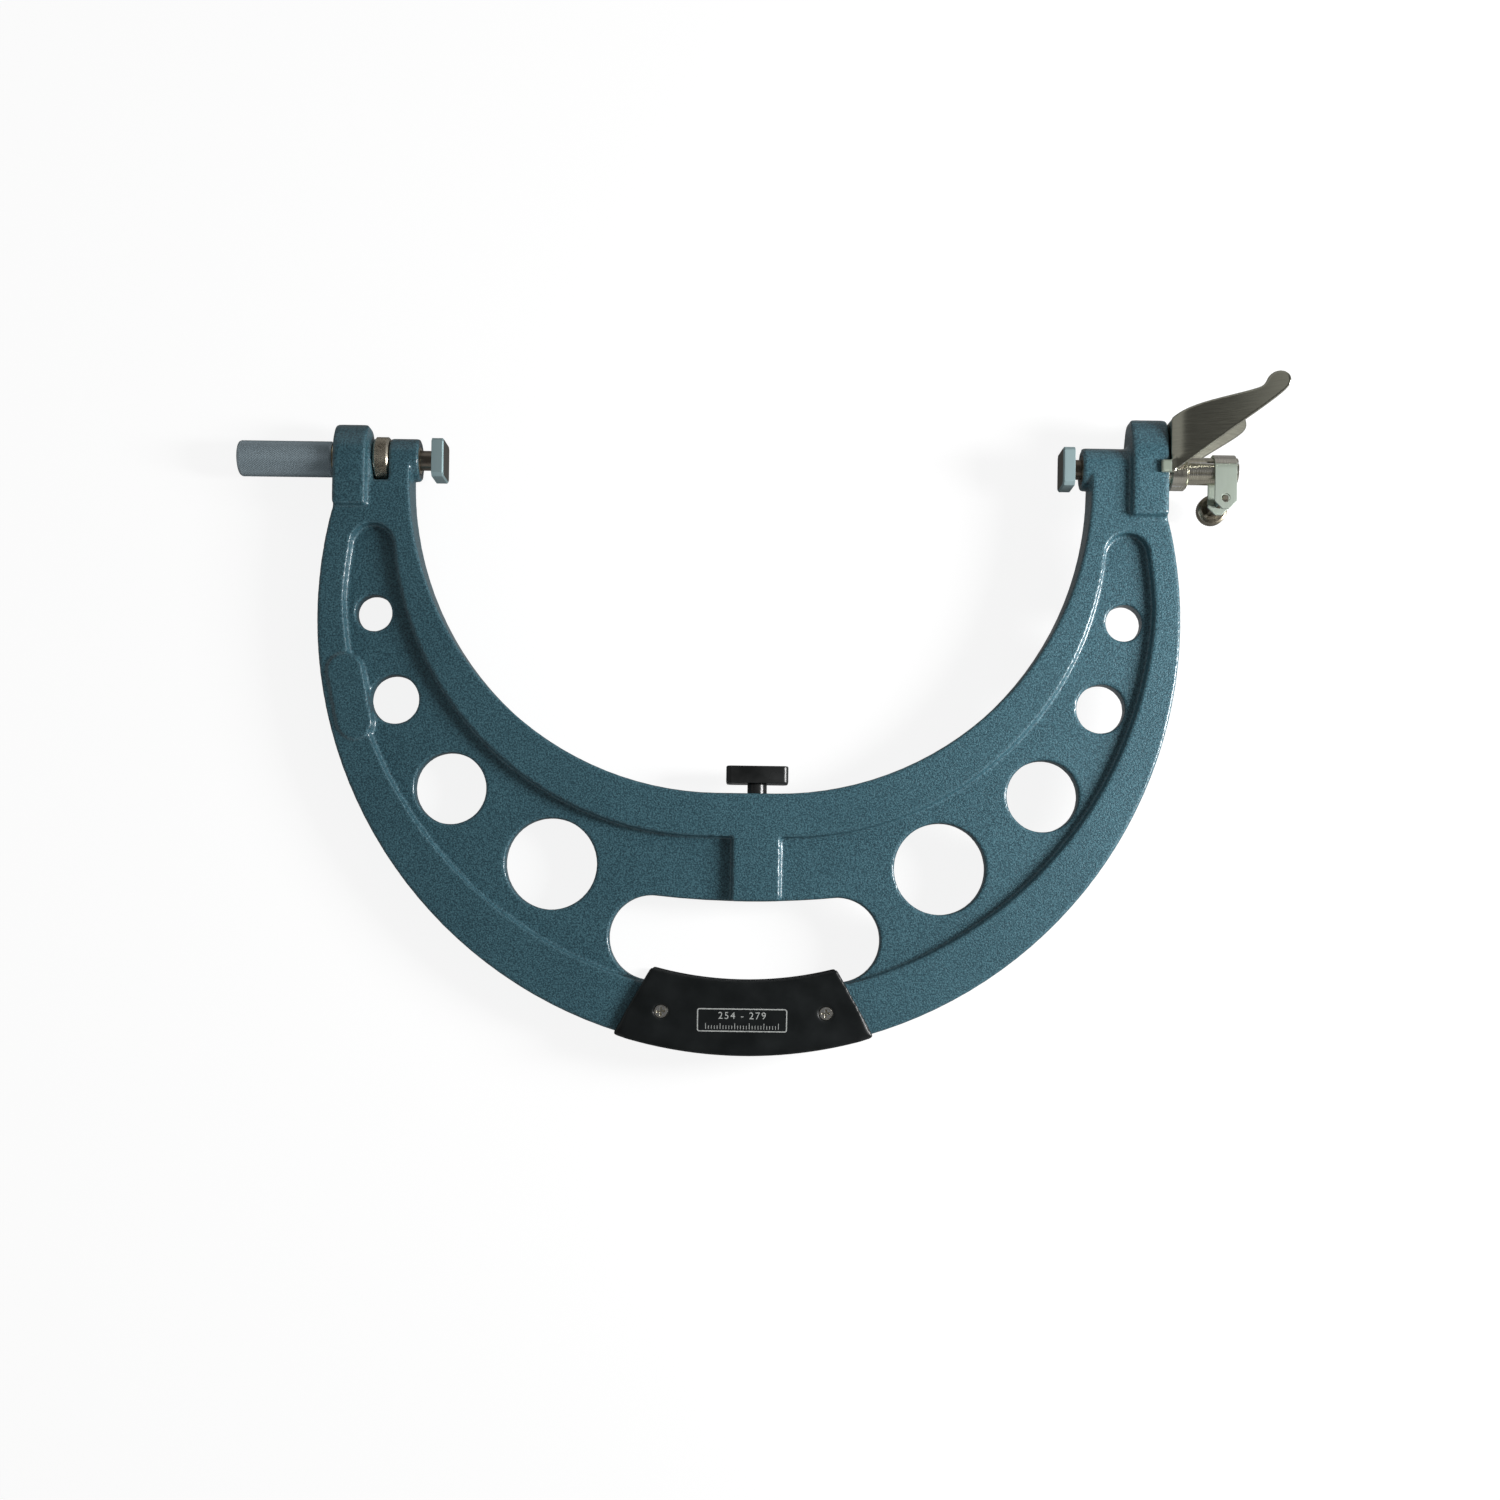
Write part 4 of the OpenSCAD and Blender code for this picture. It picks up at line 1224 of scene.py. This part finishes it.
@dataclass
class LiftingLever:
    """The polished two-winged lever and the pins that it turns on.

    Attributes:
        soft: How the stamping is rounded.
        settle_reach: Points closer than this to the solid's faces are put on them.
        ear_end: Where the ears along the boss end.
        ear_top: Height over which the web is rounded, fully so a little higher.
        ear_blend: How much higher.
        web: Half width of the web that stays flat, and of the bend beside it.
        root_end: Where the bend out of the web ends.
        root_slope: How much steeper the wings are at their roots than further out.
        axis: X and Z of the line that the front wing bends about; the rear wing mirrors it.
        bend: Radius of the wings' hollow faces.
        sheet: Thickness of the sheet.
        snap: Points closer than this to a wing's true face are put on it.
        facing: Least cosine between such a point's normal and the true one.
    """

    finishes: Finishes
    soft: Soft = Soft(0.36 * MM, 14, triangles=150000)
    settle_reach: float = 0.25 * MM
    ear_end: float = 187.2 * MM
    ear_top: float = 1.8 * MM
    ear_blend: float = 3.0 * MM
    web: float = 6.0 * MM
    root_end: float = 196.5 * MM
    root_slope: float = 0.56
    axis: tuple[float, float] = (92.074 * MM, 256.599 * MM)
    bend: float = 259.656 * MM
    sheet: float = 2.0 * MM
    snap: float = 0.12 * MM
    facing: float = 0.98

    def build(self) -> None:
        """Builds the lever and dresses its pins."""
        shape = self.soft.shape("lifting_lever", self.level_root)
        settle(shape, "lifting_lever", self.settle_reach)
        bmesh.ops.bisect_plane(shape, geom=[*shape.verts, *shape.edges, *shape.faces],
                               plane_co=(self.ear_end, 0.0, 0.0), plane_no=(1.0, 0.0, 0.0))
        shape.normal_update()
        for point in shape.verts:
            self.true_up(point)
            self.round_root(point)
        for face in shape.faces:
            face.material_index = int(face.calc_center_median().x < self.ear_end)
        lever = piece("lever", shape, ["lifting_lever"], self.finishes.lever, ALL_SMOOTH)
        lever.data.materials.append(self.finishes.plate)
        dress_node("lever_pivot_pins", self.finishes.spindle)

    def level_root(self, places: np.ndarray) -> None:
        """Brings the web's outer edges down to the wings' faces, above the ears.

        Args:
            places: Points of the lever, which are moved.
        """
        depth = np.abs(places[:, 2])
        face = self.axis[1] - np.sqrt(self.bend**2 - (places[:, 0] - self.axis[0]) ** 2)
        above = np.clip((places[:, 1] - self.ear_top) / self.ear_blend, 0.0, 1.0)
        extra = np.maximum(depth - face, 0.0) * above * (places[:, 0] < self.root_end)
        places[:, 2] = np.sign(places[:, 2]) * (depth - extra)

    def round_root(self, point: ShapePoint) -> None:
        """Bends a point at the root of a wing round into the web, if it is above the ears.

        Args:
            point: Point of the lever's shape.
        """
        depth = abs(point.co.z)
        near = max(self.root_end - max(point.co.x, self.ear_end), 0.0)
        above = min(max((point.co.y - self.ear_top) / self.ear_blend, 0.0), 1.0)
        outside = min(max((depth - self.web) / self.web, 0.0), 1.0)
        drop = self.root_slope * near**3 / (3 * (self.root_end - self.ear_end) ** 2)
        point.co.z = math.copysign(depth - drop * above * outside, point.co.z)

    def true_up(self, point: ShapePoint) -> None:
        """Puts a point that is close to a wing's face on the true curve, so that reflections run smoothly.

        Args:
            point: Point of the lever's shape.
        """
        side = 1.0 if point.co.z > 0 else -1.0
        across, up = point.co.x - self.axis[0], side * point.co.z - self.axis[1]
        away = math.hypot(across, up)
        facing = abs(point.normal.x * across + side * point.normal.z * up) / away
        if point.co.x < self.ear_end or facing < self.facing:
            return
        for radius in (self.bend, self.bend + self.sheet):
            if abs(away - radius) < self.snap:
                point.co.x = self.axis[0] + across * radius / away
                point.co.z = side * (self.axis[1] + up * radius / away)


@dataclass
class BackStop:
    """The black stop at the bottom of the throat, its rod and its lock screw."""

    finishes: Finishes

    def build(self) -> None:
        """Builds the stop."""
        enamel = self.finishes.enamel
        fitting("stop_head", "stop_pad", 0.7 * MM, enamel, 4)
        fitting("stop_stem", "stop_rod", 0.5 * MM, enamel, 3)
        dress_node("stop_lock_screw", enamel)


# Studio


@dataclass
class Studio:
    """Pale floor, soft light and the camera of the photograph.

    Attributes:
        rests: Three points of the object's back that touch the floor.
        reach: Half width of the floor.
        paper: Darkest and palest grey of the floor's paper.
        glow: How white the paper looks without its shadow.
        mirrored: How much of that whiteness shows in reflections.
        walls: Brightness of the room by height, from the floor to overhead.
        sides: How bright the room's left and right sides are beside that.
        lamp: Place of the soft lamp.
        lamp_aim: Point that it faces.
        lamp_size: Its width and height.
        lamp_power: Its power in watts.
        eye: Place of the camera.
        roll: Turn of the camera about its line of sight, in degrees.
        lens: Focal length on the sensor, in millimetres.
        sensor: Width of the sensor, in millimetres.
        shift: Upward shift of the view.
    """

    rests: tuple[Point, Point, Point] = (
        (0.229, 0.0314, -0.0389), (-0.187, -0.0225, -0.0136), (-0.058, -0.257, -0.0136))
    reach: float = 4.0
    paper: tuple[float, float] = (0.19, 0.20)
    glow: float = 0.88
    mirrored: float = 0.08
    walls: tuple[tuple[float, float], ...] = ((0.0, 0.34), (0.63, 0.40), (0.71, 0.07), (1.0, 0.09))
    sides: tuple[float, float] = (0.85, 1.2)
    lamp: Point = (0.68, -0.10, 0.40)
    lamp_aim: Point = (0.0, -0.10, 0.0)
    lamp_size: tuple[float, float] = (0.16, 0.34)
    lamp_power: float = 6.4
    eye: Point = (0.00245, -0.2081, 0.867)
    roll: float = 0.8
    lens: float = 45.96
    sensor: float = 36.0
    shift: float = 0.1167

    def build(self) -> None:
        """Builds the floor, the world, the lamp and the camera."""
        self.floor()
        self.world()
        self.key_light()
        self.camera()
        bpy.context.scene.view_settings.view_transform = "Standard"

    def floor(self) -> None:
        """Lays a wide pale sheet under the three points that the gauge rests on."""
        first, second, third = (Vector(point) for point in self.rests)
        normal = (second - first).cross(third - first).normalized()
        corners: list[Point] = []
        for x, y in ((-1, -1), (1, -1), (1, 1), (-1, 1)):
            x, y = x * self.reach, y * self.reach
            height = first.z - (normal.x * (x - first.x) + normal.y * (y - first.y)) / normal.z
            corners.append((x, y, height))
        mesh = bpy.data.meshes.new("floor")
        mesh.from_pydata(corners, [], [(0, 1, 2, 3)])
        made = bpy.data.objects.new("floor", mesh)
        bpy.context.scene.collection.objects.link(made)
        mesh.materials.append(self.paper_material())

    def seen(self, sketch: TreeSketch) -> Socket:
        """Makes a factor that is 1 for camera and transmitted rays and lower for reflections.

        Args:
            sketch: Tree to add the test to.

        Returns:
            The factor's socket.
        """
        path = sketch.node("LightPath")
        total = path.outputs["Is Glossy Ray"]
        steps = (("MULTIPLY", self.mirrored), ("MAXIMUM", path.outputs["Is Camera Ray"]),
                 ("MAXIMUM", path.outputs["Is Transmission Ray"]))
        for operation, value in steps:
            made = sketch.node("Math")
            made.operation = operation
            sketch.fill(made.inputs[0], total)
            sketch.fill(made.inputs[1], value)
            total = made.outputs[0]
        return total

    def paper_material(self) -> Material:
        """Makes white paper that keeps a faint shadow."""
        sketch = MaterialSketch("paper")
        dark, pale = ((grey, grey, grey) for grey in self.paper)
        sketch.set(base_color=sketch.ramp(sketch.noise(0.4), [(0.3, dark), (0.7, pale)]),
                   roughness=0.9, specular_ior_level=0.1)
        glow = sketch.node("Emission", color=(self.glow,) * 3, strength=self.seen(sketch))
        both = sketch.node("AddShader")
        sketch.link(sketch.shader.outputs["BSDF"], both.inputs[0])
        sketch.link(glow.outputs["Emission"], both.inputs[1])
        sketch.link(both.outputs[0], sketch.output.inputs["Surface"])
        return sketch.material

    def world(self) -> None:
        """Makes the room: pale near the floor, dim overhead, and white where the camera sees it."""
        world = bpy.data.worlds.new("studio")
        world.use_nodes = True
        bpy.context.scene.world = world
        sketch = TreeSketch(world.node_tree)
        view = sketch.node("SeparateXYZ", vector=sketch.node("TexCoord").outputs["Generated"])
        greys = sketch.ramp(view.outputs["Z"], [(height, (grey,) * 3) for height, grey in self.walls])
        strength = sketch.spread(view.outputs["X"], *self.sides, -1.0, 1.0)
        room = sketch.node("Background", color=greys, strength=strength)
        white = sketch.node("Background", color=(1.0, 1.0, 1.0))
        mix = sketch.node("MixShader", fac=sketch.node("LightPath").outputs["Is Camera Ray"])
        sketch.link(room.outputs[0], mix.inputs[1])
        sketch.link(white.outputs[0], mix.inputs[2])
        sketch.link(mix.outputs[0], sketch.node("OutputWorld").inputs["Surface"])

    def key_light(self) -> None:
        """Hangs the rectangular soft lamp low on the right."""
        light = bpy.data.lights.new("key_light", "AREA")
        light.shape = "RECTANGLE"
        light.size, light.size_y = self.lamp_size
        light.energy = self.lamp_power
        made = bpy.data.objects.new("key_light", light)
        made.location = self.lamp
        made.rotation_euler = (Vector(self.lamp_aim) - Vector(self.lamp)).to_track_quat("-Z", "Y").to_euler()
        bpy.context.scene.collection.objects.link(made)

    def camera(self) -> None:
        """Sets up the camera at the photograph's view."""
        data = bpy.data.cameras.new("photo_view")
        data.sensor_width = self.sensor
        data.lens = self.lens
        data.shift_y = self.shift
        made = bpy.data.objects.new("photo_view", data)
        made.location = self.eye
        made.rotation_euler = (0.0, 0.0, math.radians(self.roll))
        bpy.context.scene.collection.objects.link(made)
        bpy.context.scene.camera = made


def main() -> None:
    """Builds the gauge and its studio."""
    logging.basicConfig(level=logging.INFO, format="%(name)s: %(message)s")
    finishes = Finishes()
    for assembly in (CastFrame, Grip, AdjustableHead, RetractableHead, LiftingLever, BackStop):
        assembly(finishes).build()
    Studio().build()


if __name__ == "__main__":
    main()
